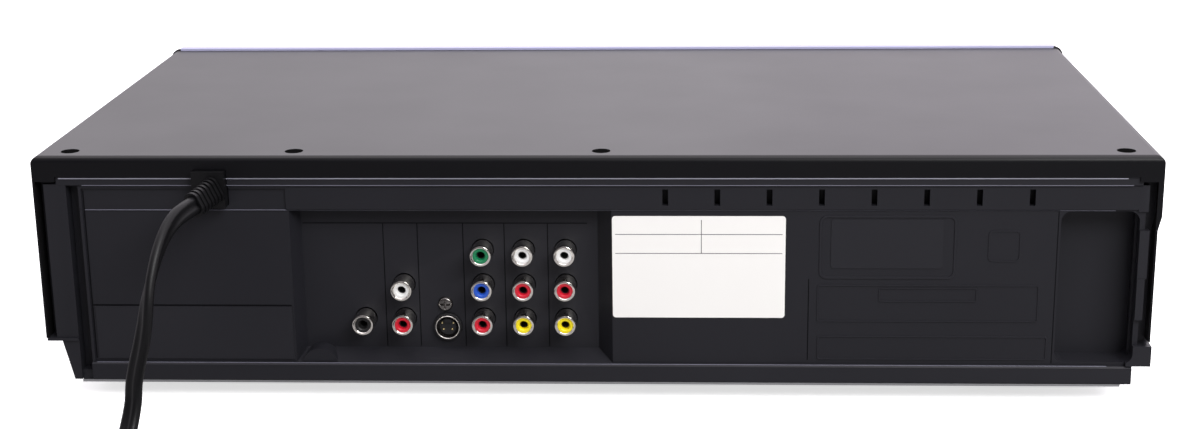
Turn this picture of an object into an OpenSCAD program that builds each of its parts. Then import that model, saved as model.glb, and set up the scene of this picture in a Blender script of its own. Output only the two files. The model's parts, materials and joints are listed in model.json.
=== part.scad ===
// Disc and tape combo player, seen in use from its front (-Y). Origin on the floor, under the middle of the case.
// Millimetres, +Z up, the jack panel faces +Y. The tape deck is in the -X half, the disc loader in the +X half.

/* [Case] */
// Width over the steel cover
body_w = 430; // [424:1:446]
// Height of the case above its feet
body_h = 92; // [91:0.5:98]
// Depth of the steel cover
cover_d = 214; // [213:1:226]
// Depth of the front panel
front_d = 16; // [16:1:20]
// Height of the feet
foot_h = 7; // [5:0.5:12]
// Diameter of a foot
foot_dia = 24; // [16:1:30]
// Steel thickness of the cover
cover_t = 0.8; // [0.6:0.1:1.2]
// Height of the cover's rear flange
flange_h = 8; // [7:0.5:9]
// Steel thickness of the bottom plate
bottom_t = 1; // [0.8:0.1:1.5]
// Wall of the plastic mouldings
wall = 2.4; // [2:0.1:3]

/* [Rear panel] */
// Depth of the recess around the jacks
bay_depth = 10; // [8:0.5:11]
// Depth of the recess at the end of the panel
pocket_depth = 13; // [10:0.5:14]
// Number of vent slots
slot_count = 8; // [5:1:8]
// Width of a vent slot
slot_w = 2.2; // [1.6:0.2:3]
// Outer diameter of a phono jack's shell
jack_dia = 8.3; // [8:0.1:9]
// Height between two rows of jacks
jack_pitch = 14.05; // [13:0.05:14.5]

/* [Front] */
// Width of the cassette door
door_w = 196; // [192:1:198]
// Height of the cassette door
door_h = 29; // [28:0.5:30]
// Width of the tray's front
tray_front_w = 139; // [136:1:142]
// Height of the tray's front
tray_front_h = 17; // [15:0.5:18]
// Travel of a button
button_travel = 1.5; // [0.8:0.1:2]
// Width of a deck button
button_w = 22; // [16:1:24]

/* [Disc loader] */
// Width of the disc tray
tray_w = 130; // [126:1:132]
// Diameter of the disc's recess in the tray
disc_recess = 121; // [120.5:0.1:122]
// Teeth of the gear that drives the tray
loader_teeth = 16; // [14:1:17]

/* [Tape deck] */
// Diameter of the head drum
drum_dia = 62; // [58:1:64]
// Tilt of the head drum
drum_tilt = 6; // [4:0.5:7]
// Width of the space for the cassette
cassette_w = 188.6; // [187.5:0.1:189]
// Teeth of the cam gear
cam_teeth = 40; // [36:2:42]

/* [Cord] */
// Width of the flat cord
cord_w = 7.2; // [6:0.2:7.6]
// Thickness of the flat cord
cord_t = 3.7; // [2.8:0.1:4]

/* [Fits] */
// Gap between pieces that slide past each other
gap = 0.3; // [0.2:0.05:0.4]
// Radial clearance of a pin in its bore
run = 0.06; // [0.03:0.01:0.1]

/* [Hidden] */
$fn = 48;
over = 1; // how far a cut runs past the face that it opens

// Case levels and planes
half_w = body_w / 2;
back_y = (cover_d + front_d) / 2;
face_y = -back_y;
panel_y = face_y + front_d;
base_z = foot_h;
top_z = foot_h + body_h;
cover_r = 3;
rear_r = 2.5;
skirt_z = base_z + 18.6; // lower edge of the cover's sides
joggle = 1.3; // the cover's side steps in by this much at the tape end
joggle_hi = base_z + 68.5;
joggle_lo = base_z + 63;
proud = 0.4; // the front panel stands over the cover by this much
screw_x = [half_w - 13, half_w - 100.4, -3.8, 12.8 - half_w];
screw_in = 9; // cover screws, in from the rear face
screw_head = 7;
screw_r = 1.5;

// Steps of the rear panel, inward from the rear face
skin_d = 2.4;
band_d = 1.6;
strip_d = 0.9;
kerb_d = 0.4;
inner_d = skin_d + wall;
floor_t = 2; // floor of the chassis
floor_d = bottom_t + floor_t + 0.4; // what reaches over that floor starts at this height
kerb_h = 8.3; // the kerb along the foot of the rear panel
band_lo = 70.6;
band_hi = 80.3;
strip_hi = body_h - flange_h + 0.2;
panel_x0 = -half_w + 37.7; // the flat panel, between the pocket and the groove
panel_x1 = half_w - 17.1;
bay_x0 = -7.7;
bay_x1 = 116.6;
bay_z1 = 70.2;
bay_slope = 5.7;
bay_ledge = 12;
bay_wall = 2;
pocket_x0 = -half_w + 7.6;
pocket_x1 = -half_w + 37;
pocket_z0 = 9.6;
pocket_z1 = 70;
pocket_r = 4;
groove_x0 = half_w - 17.1;
groove_x1 = half_w - 12.6;
groove_d = 7;
slot_x = -28.3;
slot_pitch = 19.78;
slot_h = 6.4;
slot_z = 72.3;

// Jacks: [x, how many up the column]
jack_cols = [[10.6, 3], [26.8, 3], [42.9, 3], [74.1, 2], [89.7, 1]];
jack_z = base_z + 24.1;
shell_y = back_y - 0.5; // the shells end at about the rear face
shell_t = 0.9;
pin_hole = 3.2; // hole for a plug's pin
svideo_x = 57.4;
svideo_z = base_z + 20.8;
svideo_r = 4.8;
front_jacks = [-half_w + 19, -half_w + 33, -half_w + 47];
front_jack_z = base_z + 15;
jack_block_l = 10;

frame_w = tray_w + 8; // width of the loader frame

// Front
front_r = 11; // round of the front panel's top edge
corner_r = 4;
trim_h = 8.7;
trim_t = 1.4;
trim_end = 9.5;
deck_end = 108; // from the case's end to the middle of the tape deck
deck_half = 101; // half widths of the tape deck and of the loader with its feet
loader_half = frame_w / 2 + 10;
deck_x = -half_w + deck_end;
// the spare width is shared out between the room beside the deck and the room beside the loader
spare = body_w - deck_end - deck_half - 2 * loader_half;
side_gap = 10; // least room between the loader and the case's side
loader_x = half_w - loader_half - side_gap - (spare - side_gap) * 26 / 53;
door_top = top_z - 9;
door_t = 2.4;
door_gap = 0.3;
door_axis_y = face_y + 3;
door_axis_z = door_top - 1.2;
door_pin_r = 1.2;
door_pin = 5; // the pins stand out from the door's ends
ear_x = 101.4; // inner face of the ears that hold the pins
ear_t = 3;
pivot_r = 1.5;
tray_mid = top_z - 20; // middle of the tray's front
window_w = 112;
window_h = 24;
window_z = base_z + 40;
window_t = 2;
button_h = 7;
row_z = base_z + 40;
row_pitch = button_w + 5;
power_x = -half_w + 26;
power_r = 6.5;
board_y = panel_y - 1.6; // front board
pcb_t = 1.6;
key_back = board_y - pcb_t; // front face of the front board
cap_t = 1; // flange that keeps a button in
// [name number, x, z, width]
row_keys = [0, 1, 2, 3, 4];
tray_edge = loader_x + tray_front_w / 2;
tray_key_x = tray_edge + (half_w - tray_edge) * 0.4;
eject_key_x = deck_x + 88;

// Chassis
floor_z = base_z + bottom_t + floor_t;
chassis_back = back_y - inner_d;
rail_top = base_z + 58;
tray_side = half_w - 1.9; // outer face of the chassis's upstand
kerb_x0 = -half_w + 7.5;
kerb_x1 = half_w - 9.7;

deck_holes = [face_y + 55, face_y + 125]; // rows of air holes
power_holes = [face_y + 75, face_y + 135];

// Disc loader
tray_z = top_z - 17; // upper face of the tray
tray_t = 5;
tray_low = tray_z - tray_t;
tray_travel = 132;
disc_y = face_y + 70;
tray_y0 = face_y + 3;
tray_y1 = face_y + 173;
recess_t = 2.4;
small_recess = 81;
small_t = 3.6;
hub_slot = 42;
frame_z = top_z - 37; // lower face of the loader frame
frame_t = 2;
frame_y0 = panel_y + 1;
frame_y1 = 70;
rack_x = loader_x + 50; // pitch line of the tray's rack
gear_m = 1;
loader_r = gear_m * loader_teeth / 2;
gear_x = rack_x - loader_r;
gear_y = face_y + 29;
gear_t = 3;
gear_z = tray_low - gap - gear_t;
pulley_r = 11;
pulley_z = frame_z + frame_t + gap;
pulley_t = 4;
groove = 0.9; // depth of a pulley's groove
motor_x = gear_x - 32;
small_pulley_r = 3;
belt_t = 1;
rack_addendum = 0.65;
post_r = 1.5;

// Disc drive
lift_y = 40; // pivot of the traverse plate
plate_z = frame_z + 4;
plate_t = 2;
lift_z = plate_z + plate_t - pivot_r; // the shaft's top is level with the plate's, so the sled's rack clears it
spindle_r = 12;
spindle_t = 5.5;
table_z = tray_z - 1.4; // the disc's seat on the turntable
table_r = 15;
table_t = 2.6;
rod_x = 22;
rod_r = 1.5;
rod_z = plate_z + plate_t + 5.5;
rod_y0 = disc_y + 13;
rod_y1 = lift_y - 5;
lens_y = disc_y + 24;
pickup_travel = 34;
feed_teeth = 12;
feed_r = gear_m * feed_teeth / 2;
feed_rack = -29; // pitch line, beside the spindle
feed_y = disc_y + 50;
feed_z = plate_z + plate_t + gap;
bridge_z = frame_z + 26;
bridge_t = 1.2;
puck_hole = 11.5;

// Tape deck
deck_z = base_z + 23;
deck_t = 1.2;
deck_w = 196;
deck_y0 = face_y + 21;
deck_y1 = back_y - 19;
deck_top = deck_z + deck_t;
side_x = 99; // inner face of the deck's side walls
side_y1 = face_y + 145;
drum_y = 60;
drum_r = drum_dia / 2;
drum_mid = deck_top + 18; // where the fixed and the turning halves meet
drum_top_h = 15;
guide_r = 48;
guide_start = 20;
guide_turn = 100;
guide_slot = 5;
reel_dx = 46;
reel_y = face_y + 74;
reel_r = 17;
capstan_x = deck_x + 59;
capstan_y = 40;
flywheel_r = 26;
bearing_h = 4.6; // the capstan's bearing ends below the pinch arm
pinch_x = deck_x + 77;
pinch_y = 19;
pinch_arm_l = 29;
pinch_rest = 175;
roller_r = 6.5;
cam_x = deck_x - 77;
cam_y = 28;
cam_r = gear_m * cam_teeth / 2;
cam_z = deck_top + 2;
cam_t = 4;
loading_n = 12;
loading_r = gear_m * loading_n / 2;
loading_y = cam_y - cam_r - loading_r;
holder_in = cassette_w / 2;
holder_t = 1;
holder_y0 = face_y + 35;
holder_y1 = face_y + 95;
holder_z0 = door_top - 30.4;
cassette_h = 25.6;
holder_travel = 34;
holder_drop = 15;
slider_x = 97.2;
slider_t = 1.4;
slider_y = (holder_y0 + holder_y1) / 2;
slider_l = 24;
slider_top = holder_z0 + 30.4;
slider_pin_z = holder_z0 + 26;
holder_pin_z = holder_z0 + 20;

// Boards
board_z = floor_z + 4;
main_x0 = loader_x - 86;
main_x1 = loader_x + 20;
main_y0 = panel_y + 7;
main_y1 = back_y - 37;
power_x0 = loader_x + 28;
power_x1 = half_w - 12;
power_y0 = panel_y + 33;
power_y1 = back_y - 23;
jack_board_y = back_y - 12 - jack_block_l;

// Cord: the flat cord's route from the strain relief to the coil, chosen by hand
relief_x = 146;
relief_w = 12.6; // plate of the strain relief
relief_lo = 72.4;
relief_hi = 86.6;
relief_proud = 3;
relief_z = base_z + 79.8;
relief_off = 2.6; // the boot stands off the plate's middle
relief_turn = 10; // it leans towards the case's end
relief_droop = 3;
relief_lean = 25; // its long side leans by this much, as the flat cord does
relief_l = 20.2;
relief_fins = 7;
boot_w = 4.8;
boot_h = 8.6;
cord_half_t = cord_t / 2;
route = [[146.6, 135.4, 85.8], [147.5, 140, 85.6], [148.7, 145.2, 85.4], [150.1, 150.5, 84.6], [151.6, 156, 82.4],
  [153, 161.2, 78.6], [154.3, 166, 73.2], [155.5, 170, 66.5], [156.5, 173, 59.5], [157.5, 174.5, 52],
  [159, 175.5, 44.5],
  [161, 176, 37], [162.5, 176.5, 30], [163, 177.5, 23.5], [164, 180.5, 16.5], [165, 185, 10.5],
  [166, 191, 6], [167, 198, 3.2], [168, 205.5, 2.2], [169, 214, 2.1], [169.4, 223, 2.1],
  [169.4, 232, 2.1], [169.4, 241, 2.1]];
twist_start = 90 - relief_lean; // the flat cord leaves its strain relief turned by this much
twist_over = 13; // and lies flat to the case after this many points
coil_x = 122;
coil_y = 246;
coil_r = 40;
coil_cols = 3;
coil_rows = 2;
coil_w = coil_cols * cord_w + 1;
coil_h = coil_rows * (cord_t + 0.2) + 0.4;
tail = [[120, 293.5, 2.2], [112, 293.5, 2.4], [104, 293.5, 3.2], [96, 293.5, 4.8], [87, 293.5, 6]];
plug_x = 88;
plug_y = 293.5;
plug_l = 26;
plug_w = 20;
plug_t = 12;
blade_l = 16;
blade_w = 6.3;
blade_t = 1.5;
blade_gap = 12.7;

// ---------- shared shapes ----------

module block(x0, x1, y0, y1, z0, z1) translate([x0, y0, z0]) cube([x1 - x0, y1 - y0, z1 - z0]);
module post(x, y, z0, z1, r) translate([x, y, z0]) cylinder(r = r, h = z1 - z0);
module rod_y(x, z, y0, y1, r) translate([x, y0, z]) rotate([-90, 0, 0]) cylinder(r = r, h = y1 - y0);
module rod_x(y, z, x0, x1, r) translate([x0, y, z]) rotate([0, 90, 0]) cylinder(r = r, h = x1 - x0);
// A block of the rear panel: z above the case's underside, d inward from the rear face
module rear(x0, x1, z0, z1, d0, d1) block(x0, x1, back_y - d1, back_y - d0, base_z + z0, base_z + z1);
// Extrudes a (y, z) outline along X, and an (x, z) outline along Y
module along_x(x0, x1) translate([x0, 0, 0]) rotate([90, 0, 90]) linear_extrude(x1 - x0) children();
module along_y(y0, y1) translate([0, y1, 0]) rotate([90, 0, 0]) linear_extrude(y1 - y0) children();
module rounded(w, h, r) {
  square([w - 2 * r, h], center = true);
  square([w, h - 2 * r], center = true);
  for (x = [r - w / 2, w / 2 - r], y = [r - h / 2, h / 2 - r]) translate([x, y]) circle(r);
}

// Involute gear outline; the teeth are thinned at the pitch line for backlash
function involute(a) = tan(a) * 180 / PI - a;
function flank(n, r, thin) = let (base = n * gear_m / 2 * cos(20))
  90 / n - thin / (n * gear_m) * 180 / PI + involute(20) - (r > base ? involute(acos(base / r)) : 0);
function gear_points(n, thin, tip) = let (pitch = n * gear_m / 2, base = pitch * cos(20))
  let (radii = [pitch - 1.15 * gear_m, base + 0.02, pitch, pitch + tip])
  [for (i = [0 : n - 1], s = [-1, 1], k = [0 : 3])
    let (r = radii[s < 0 ? k : 3 - k], a = 360 * i / n + s * flank(n, r, thin)) [r * cos(a), r * sin(a)]];
module gear(n, t, bore, thin = 0.2, tip = 0.75) linear_extrude(t) difference() {
  polygon(gear_points(n, thin, tip));
  circle(bore);
}
// Rack outline along +Y with its teeth towards -X and a gap at the origin
module rack(first, last, back) {
  slope = tan(20);
  half = PI / 4 - 0.08;
  tip = rack_addendum;
  root = 1.1;
  points = [for (k = [first : last - 1], p = [[-root, -1], [tip, -1], [tip, 1], [-root, 1]])
    [-p[0], (k + 0.5) * PI + p[1] * (half - p[0] * slope)]];
  polygon(concat([[back, first * PI]], [[root, first * PI]], points, [[root, last * PI]], [[back, last * PI]]));
}

// Sweeps an outline of [across, through] points along a route, turned about the route by twists
function unit(v) = v / norm(v);
function tangent(p, i) = unit(p[min(i + 1, len(p) - 1)] - p[max(i - 1, 0)]);
function across(p, i, ref) = let (t = tangent(p, i)) unit(ref - (ref * t) * t);
module sweep(p, outline, ref, twists) {
  m = len(outline);
  n = len(p);
  points = [for (i = [0 : n - 1], q = outline)
    let (t = tangent(p, i), u = across(p, i, ref), v = cross(t, u), c = cos(twists[i]), s = sin(twists[i]))
    p[i] + (q[0] * c - q[1] * s) * u + (q[0] * s + q[1] * c) * v];
  sides = [for (i = [0 : n - 2], k = [0 : m - 1])
    [i * m + k, (i + 1) * m + k, (i + 1) * m + (k + 1) % m, i * m + (k + 1) % m]];
  polyhedron(points, concat(sides, [[for (k = [0 : m - 1]) k]], [[for (k = [m - 1 : -1 : 0]) (n - 1) * m + k]]));
}
function oval(a, b, n) = [for (k = [0 : n - 1]) [a * cos(360 * k / n), b * sin(360 * k / n)]];

// ---------- case ----------

module cover_outline(i, low) {
  zr = top_z - cover_r;
  polygon([[joggle + i - half_w, low], [half_w - i, low], [half_w - i, zr], [i - half_w, zr],
    [i - half_w, joggle_hi], [joggle + i - half_w, joggle_lo]]);
  translate([cover_r - half_w, zr - over]) square([body_w - 2 * cover_r, cover_r - i + over]);
  for (s = [-1, 1]) translate([s * (half_w - cover_r), zr]) circle(cover_r - i);
}
module cover_form(i, low, front) intersection() {
  along_y(front, back_y) cover_outline(i, low);
  along_x(-half_w, half_w) {
    translate([front, low]) square([back_y - i - front, top_z - rear_r - low]);
    translate([front, low]) square([back_y - rear_r - front, top_z - i - low]);
    translate([back_y - rear_r, top_z - rear_r]) circle(rear_r - i);
  }
}
module top_cover() color([0.2, 0.19, 0.2]) difference() {
  cover_form(0, skirt_z, panel_y);
  cover_form(cover_t, skirt_z - over, panel_y - over);
  open_w = half_w - cover_t;
  block(joggle - open_w, open_w, back_y - cover_t - over, back_y + over, skirt_z - over, top_z - flange_h - 2);
  block(8 - open_w, open_w - 8, back_y - cover_t - over, back_y + over, skirt_z, top_z - flange_h);
  rear(relief_x - relief_w / 2 - 0.2, relief_x + relief_w / 2 + 0.2, relief_lo, relief_hi + 0.2, -over, 4);
  for (x = screw_x) translate([x, back_y - screw_in, top_z - cover_t])
    cylinder(r1 = screw_head / 2 - cover_t + 0.1, r2 = screw_head / 2 + 0.1, h = cover_t);
}
module cover_screws() color([0.08, 0.08, 0.09]) for (x = screw_x)
  translate([x, back_y - screw_in, top_z]) {
    translate([0, 0, -2]) cylinder(r1 = screw_r, r2 = screw_head / 2, h = 2);
    translate([0, 0, -9]) cylinder(r = screw_r, h = 7.5);
  }

module rear_profile() {
  y = back_y;
  z = base_z;
  polygon([[y - inner_d, z + bottom_t], [y - kerb_d - 0.6, z + bottom_t], [y - kerb_d, z + bottom_t + 0.6],
    [y - kerb_d, z + kerb_h - 0.6], [y - kerb_d - 0.6, z + kerb_h], [y - skin_d, z + kerb_h + 0.2],
    [y - skin_d, z + band_lo - 0.5], [y - band_d - 0.4, z + band_lo - 0.3], [y - band_d, z + band_lo + 0.2],
    [y - band_d, z + band_hi - 0.4], [y - strip_d - 0.4, z + band_hi - 0.2], [y - strip_d, z + band_hi + 0.3],
    [y - strip_d, z + strip_hi], [y - cover_t - 0.1, z + strip_hi], [y - cover_t - 0.1, top_z - rear_r],
    [y - rear_r, top_z - cover_t - 0.1], [y - screw_in - 7, top_z - cover_t - 0.1],
    [y - screw_in - 7, top_z - cover_t - 2.2], [y - inner_d, top_z - cover_t - 2.2]]);
}
module end_column() along_y(back_y - 3.4, back_y - 1) translate([0, base_z])
  polygon([[groove_x1, 1.2], [half_w - 9.7, 1.2], [half_w - 5.9, 17.4], [half_w - 3.9, 17.4],
    [half_w - 3.9, band_hi + 0.5], [groove_x1, band_hi + 0.5]]);
module rear_panel() color([0.14, 0.14, 0.165]) difference() {
  union() {
    difference() {
      along_x(kerb_x0, half_w - 9) rear_profile();
      rear(groove_x0, half_w, 0, band_hi, -over, inner_d + over);
      rear(kerb_x0 - over, panel_x0, kerb_h, band_lo, -over, inner_d + over);
    }
    end_column();
    // groove beside the end column, and the sunk strip along the steel side
    rear(groove_x0 - 1.4, groove_x1 + 1.4, bottom_t, band_hi, skin_d, inner_d);
    rear(groove_x0 - 1.4, groove_x1 + 1.4, floor_d, band_hi, skin_d, groove_d + 2);
    rear(groove_x0 - 1.1, groove_x0, kerb_h - 0.5, band_lo, band_d, skin_d + 0.3);
    rear(groove_x1, half_w - 1.1, 17.4, band_hi + 3, groove_d, groove_d + 2);
    rear(groove_x1, half_w - 0.3, 17.4, 18.5, 0.2, groove_d + 1);
    // jack bay, pocket and the column beside the pocket
    rear(bay_x0 - bay_wall, bay_x1 + bay_wall, kerb_h - 1, bay_z1 + bay_wall, skin_d, bay_depth + bay_wall);
    rear(pocket_x0 - bay_wall, pocket_x1 + bay_wall, kerb_h, pocket_z1 + bay_wall, skin_d, pocket_depth + bay_wall);
    rear(pocket_x0 - 2.8, kerb_x0 + over, pocket_z1, band_hi, band_d, inner_d);
    rear(pocket_x0 - 3.6, pocket_x0, 43.6, 62.6, 1.2, 6);
    rear(pocket_x0 - 2.9, pocket_x0 + 0.3, 27.2, 43.6, 0.8, 6);
    rear(pocket_x0 - 2.4, pocket_x0, pocket_z0, pocket_z1 + over, 4.5, 7);
    rear(0.5 - half_w, pocket_x0 + 2.4, kerb_h + 0.3, 16.7, 0.2, pocket_depth + bay_wall);
    // raised field below the cord
    rear(bay_x1 + 0.8, groove_x0 - 2.7, kerb_h + 1.3, 31.2, skin_d - 0.4, skin_d + 0.3);
    // bosses under the cover's screws
    for (x = screw_x) post(x, back_y - screw_in, top_z - 12, top_z - cover_t - 0.1, 4);
  }
  // jack bay with its sloping end wall
  translate([0, 0, base_z + kerb_h]) linear_extrude(bay_z1 - kerb_h) translate([0, back_y])
    polygon([[bay_x0, over], [bay_x0, -skin_d], [bay_x0 + bay_slope, -bay_depth],
      [bay_x1 - 3, -bay_depth], [bay_x1, -skin_d], [bay_x1, over]]);
  // pocket with round corners
  along_y(back_y - pocket_depth, back_y + over)
    translate([(pocket_x0 + pocket_x1) / 2, base_z + (pocket_z0 + pocket_z1) / 2])
    rounded(pocket_x1 - pocket_x0, pocket_z1 - pocket_z0, pocket_r);
  rear(groove_x0, groove_x1, floor_d + 1.2, band_hi - 0.5, -over, groove_d);
  // the panel beside the groove runs up past the band's lower edge
  rear(bay_x1 + 0.8, groove_x0 - 1.1, band_lo - 1, band_hi - 1.3, -over, skin_d);
  for (i = [0 : slot_count - 1])
    rear(slot_x - i * slot_pitch - slot_w / 2, slot_x - i * slot_pitch + slot_w / 2, slot_z, slot_z + slot_h,
      -over, inner_d + over);
  rear(relief_x - relief_w / 2 - 0.2, relief_x + relief_w / 2 + 0.2, relief_lo - 0.2, relief_hi + 0.2,
    -over, inner_d + over);
  for (c = jack_cols, i = [0 : c[1] - 1])
    rod_y(c[0], jack_z + i * jack_pitch, back_y - 20, back_y, jack_dia / 2 + 0.3);
  rod_y(svideo_x, svideo_z, back_y - 20, back_y, svideo_r + 0.9);
  for (x = screw_x) translate([x, back_y - screw_in, 0]) {
    translate([0, 0, top_z - 2.1]) cylinder(r1 = screw_r + 0.1, r2 = screw_head / 2 + 0.1, h = 2.1);
    translate([0, 0, top_z - 9.3]) cylinder(r = screw_r + 0.1, h = 9);
  }
}
// Sloping ledge and cable hump at the foot of the jack bay belong to the rear panel
module bay_foot() intersection() {
  translate([0, 0, base_z + kerb_h - 1]) linear_extrude(bay_z1 - kerb_h) translate([0, back_y])
    polygon([[bay_x0, -skin_d], [bay_x0 + bay_slope, -bay_depth], [bay_x1 - 3, -bay_depth], [bay_x1, -skin_d]]);
  union() {
    along_x(bay_x0, bay_x1) polygon([[back_y - bay_depth, base_z + kerb_h], [back_y - skin_d, base_z + kerb_h],
      [back_y - bay_depth, base_z + bay_ledge]]);
    rod_y(107.5, base_z + 6.5, back_y - bay_depth, back_y - skin_d, 7.2);
  }
}
module rear_panel_whole() color([0.14, 0.14, 0.165]) union() {
  rear_panel();
  bay_foot();
}

module chassis_outline() polygon([[kerb_x0, base_z + bottom_t], [kerb_x0, base_z + 8.4],
  [0.6 - half_w, base_z + 8.4], [0.6 - half_w, skirt_z - 0.1], [joggle + 1 - half_w, skirt_z - 0.1],
  [joggle + 1 - half_w, rail_top], [joggle + 3 - half_w, rail_top], [joggle + 3 - half_w, base_z + 10.4],
  [kerb_x0 + 2, base_z + 10.4], [kerb_x0 + 2, floor_z], [half_w - 11.7, floor_z], [half_w - 8, base_z + 19.3],
  [half_w - 3, base_z + 19.3], [half_w - 3, rail_top], [half_w - 1, rail_top], [half_w - 1, skirt_z - 0.1],
  [half_w - 0.4, skirt_z - 0.1], [half_w - 0.4, base_z + 17.4], [half_w - 5.9, base_z + 17.4],
  [half_w - 9.7, base_z + bottom_t]]);
module chassis() color([0.13, 0.13, 0.15]) difference() {
  union() {
    along_y(panel_y, chassis_back) chassis_outline();
    // posts: deck, loader, main board and power board
    for (x = [deck_x - 88, deck_x + 88], y = [deck_y0 + 8, deck_y1 - 6]) {
      post(x, y, floor_z - 0.5, deck_z, 4);
      for (a = [0, 90]) translate([x, y, floor_z - 0.5]) rotate([0, 0, a])
        translate([-6, -0.75, 0]) cube([12, 1.5, 12]);
    }
    for (x = [loader_x - frame_w / 2 - 5, loader_x + frame_w / 2 + 5], y = [frame_y0 + 12, frame_y1 - 12])
      post(x, y, floor_z - 0.5, frame_z, 4);
    for (x = [main_x0 + 5, main_x1 - 5], y = [main_y0 + 5, main_y1 - 5]) post(x, y, floor_z - 0.5, board_z, 3);
    for (x = [power_x0 + 5, power_x1 - 5], y = [power_y0 + 5, power_y1 - 5])
      post(x, y, floor_z - 0.5, board_z, 3);
    post(capstan_x, capstan_y, floor_z - 0.5, floor_z + 5, 5);
    block(kerb_x0 + 4, half_w - 14, panel_y, panel_y + wall, floor_z - 0.5, floor_z + 6);
  }
  // the rear panel's pocket, corner box and groove reach into the chassis
  rear(-half_w - over, pocket_x1 + bay_wall + 0.5, bottom_t + floor_t + 0.2, 75, -over, pocket_depth + bay_wall + 0.3);
  rear(groove_x0 - 2, groove_x1 + 1.7, bottom_t + floor_t + 0.2, 90, -over, groove_d + 2.3);
  rear(groove_x1, half_w + over, 17, 90, -over, groove_d + 2.3);
  // air holes under the tape deck and the power board
  for (x = [deck_x - 60 : 24 : deck_x + 60], y = deck_holes) block(x, x + 14, y, y + 4, base_z, floor_z + over);
  for (x = [power_x0 + 12 : 20 : power_x1 - 18], y = power_holes) block(x, x + 12, y, y + 4, base_z, floor_z + over);
}
module bottom_plate() color([0.45, 0.42, 0.4]) difference() {
  block(kerb_x0 + 4, kerb_x1 - 3, panel_y + 2, back_y - 1.2, base_z, base_z + bottom_t);
  for (x = [deck_x - 60 : 24 : deck_x + 60], y = deck_holes)
    block(x, x + 14, y, y + 4, base_z - over, base_z + bottom_t + over);
  for (x = [power_x0 + 12 : 20 : power_x1 - 18], y = power_holes)
    block(x, x + 12, y, y + 4, base_z - over, base_z + bottom_t + over);
}
module feet() color([0.06, 0.06, 0.06]) for (x = [-1, 1], y = [face_y + 42, back_y - 46])
  translate([x * (half_w - 40), y, 0]) {
    cylinder(r1 = foot_dia / 2 - 1, r2 = foot_dia / 2, h = 1.5);
    translate([0, 0, 1.5]) cylinder(r = foot_dia / 2, h = foot_h - 1.5);
  }

// ---------- front ----------

module front_side(i) {
  y = face_y + i;
  low = base_z + 0.5 + i;
  high = top_z + proud - i;
  translate([y, low]) square([front_d - i, high - low - front_r + i]);
  translate([y + front_r - i, low]) square([front_d - front_r, high - low]);
  translate([y + front_r - i, high - front_r + i]) circle(front_r - i);
}
module front_face(i) translate([0, (base_z + 0.5 + top_z + proud) / 2])
  rounded(body_w + 2 * proud - 2 * i, top_z + proud - base_z - 0.5 - 2 * i, corner_r - (i > 0 ? wall : 0));
module front_form(i) intersection() {
  along_x(-half_w - proud, half_w + proud) front_side(i);
  along_y(face_y, panel_y) front_face(i);
}
module trim_form(end, from, top) intersection() {
  along_x(end - half_w, half_w - end) difference() {
    front_side(0);
    front_side(trim_t);
    translate([face_y - over, base_z]) square([front_d + 2 * over, top_z + proud - trim_h - base_z]);
    translate([panel_y - from, base_z]) square([front_d, body_h * 2]);
  }
  along_y(face_y, panel_y) translate([end - half_w, base_z]) square([body_w - 2 * end, top]);
}
module key_hole(x, z, w, h) along_y(face_y - over, face_y + wall + over) translate([x, z]) rounded(w, h, 1);
module front_panel() color([0.05, 0.05, 0.06]) difference() {
  union() {
    difference() {
      front_form(0);
      intersection() {
        along_x(-half_w, half_w) {
          front_side(wall);
          translate([panel_y - wall - over, base_z + wall + 0.5]) square([3 * over, body_h - 2 * wall]);
        }
        along_y(face_y + wall, panel_y + over) front_face(wall + 1);
      }
    }
    // ears for the door's pins, and posts for the front board
    for (s = [-1, 1]) {
      x = deck_x + s * (ear_x + ear_t / 2);
      block(x - ear_t / 2, x + ear_t / 2, face_y + 1, face_y + 7, door_axis_z - 4, door_axis_z + 4);
    }
    for (x = [62 - half_w, deck_x + 98, loader_x + 70]) rod_y(x, base_z + 8, face_y + 1, key_back, 3);
    // raised frame around the display window
    along_y(face_y - 0.5, face_y + 1) translate([loader_x, window_z]) rounded(window_w + 8, window_h + 8, 3);
  }
  block(deck_x - door_w / 2 - door_gap, deck_x + door_w / 2 + door_gap, face_y - over, face_y + wall + over,
    door_top - door_h - 0.9, door_top + door_gap);
  // rebate behind the door's upper edge, pocket for the door's spring and bores for its pins
  block(deck_x - door_w / 2 - door_gap, deck_x + door_w / 2 + door_gap, face_y + 1.2, face_y + wall + over,
    door_top - 1, door_top + 1.9);
  block(deck_x - ear_x + 0.1, deck_x - door_w / 2, face_y + 0.6, face_y + wall + over, door_axis_z - 3, door_axis_z + 3);
  for (s = [-1, 1]) rod_x(door_axis_y, door_axis_z, deck_x + min(s * (door_w / 2 - 1), s * (ear_x + ear_t + over)),
    deck_x + max(s * (door_w / 2 - 1), s * (ear_x + ear_t + over)), door_pin_r + run);
  block(loader_x - tray_front_w / 2 - gap, loader_x + tray_front_w / 2 + gap, face_y - over,
    face_y + wall + over, tray_mid - tray_front_h / 2 - gap, tray_mid + tray_front_h / 2 + gap);
  along_y(face_y - over, face_y + window_t) translate([loader_x, window_z]) rounded(window_w, window_h, 2);
  along_y(face_y - over, face_y + wall + over) translate([loader_x, window_z])
    rounded(window_w - 6, window_h - 6, 1);
  for (k = row_keys) key_hole(deck_x + (k - 2) * row_pitch, row_z, button_w + 2 * gap, button_h + 2 * gap);
  key_hole(eject_key_x, base_z + 22, button_w + 2 * gap - 4, button_h + 2 * gap);
  key_hole(tray_key_x, tray_mid, 14 + 2 * gap, button_h + 2 * gap);
  rod_y(power_x, row_z, face_y - over, face_y + wall + over, power_r + gap);
  for (x = front_jacks) rod_y(x, front_jack_z, face_y - over, face_y + wall + over, jack_dia / 2 + 0.3);
  trim_form(trim_end, -over, body_h * 2);
}
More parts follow.
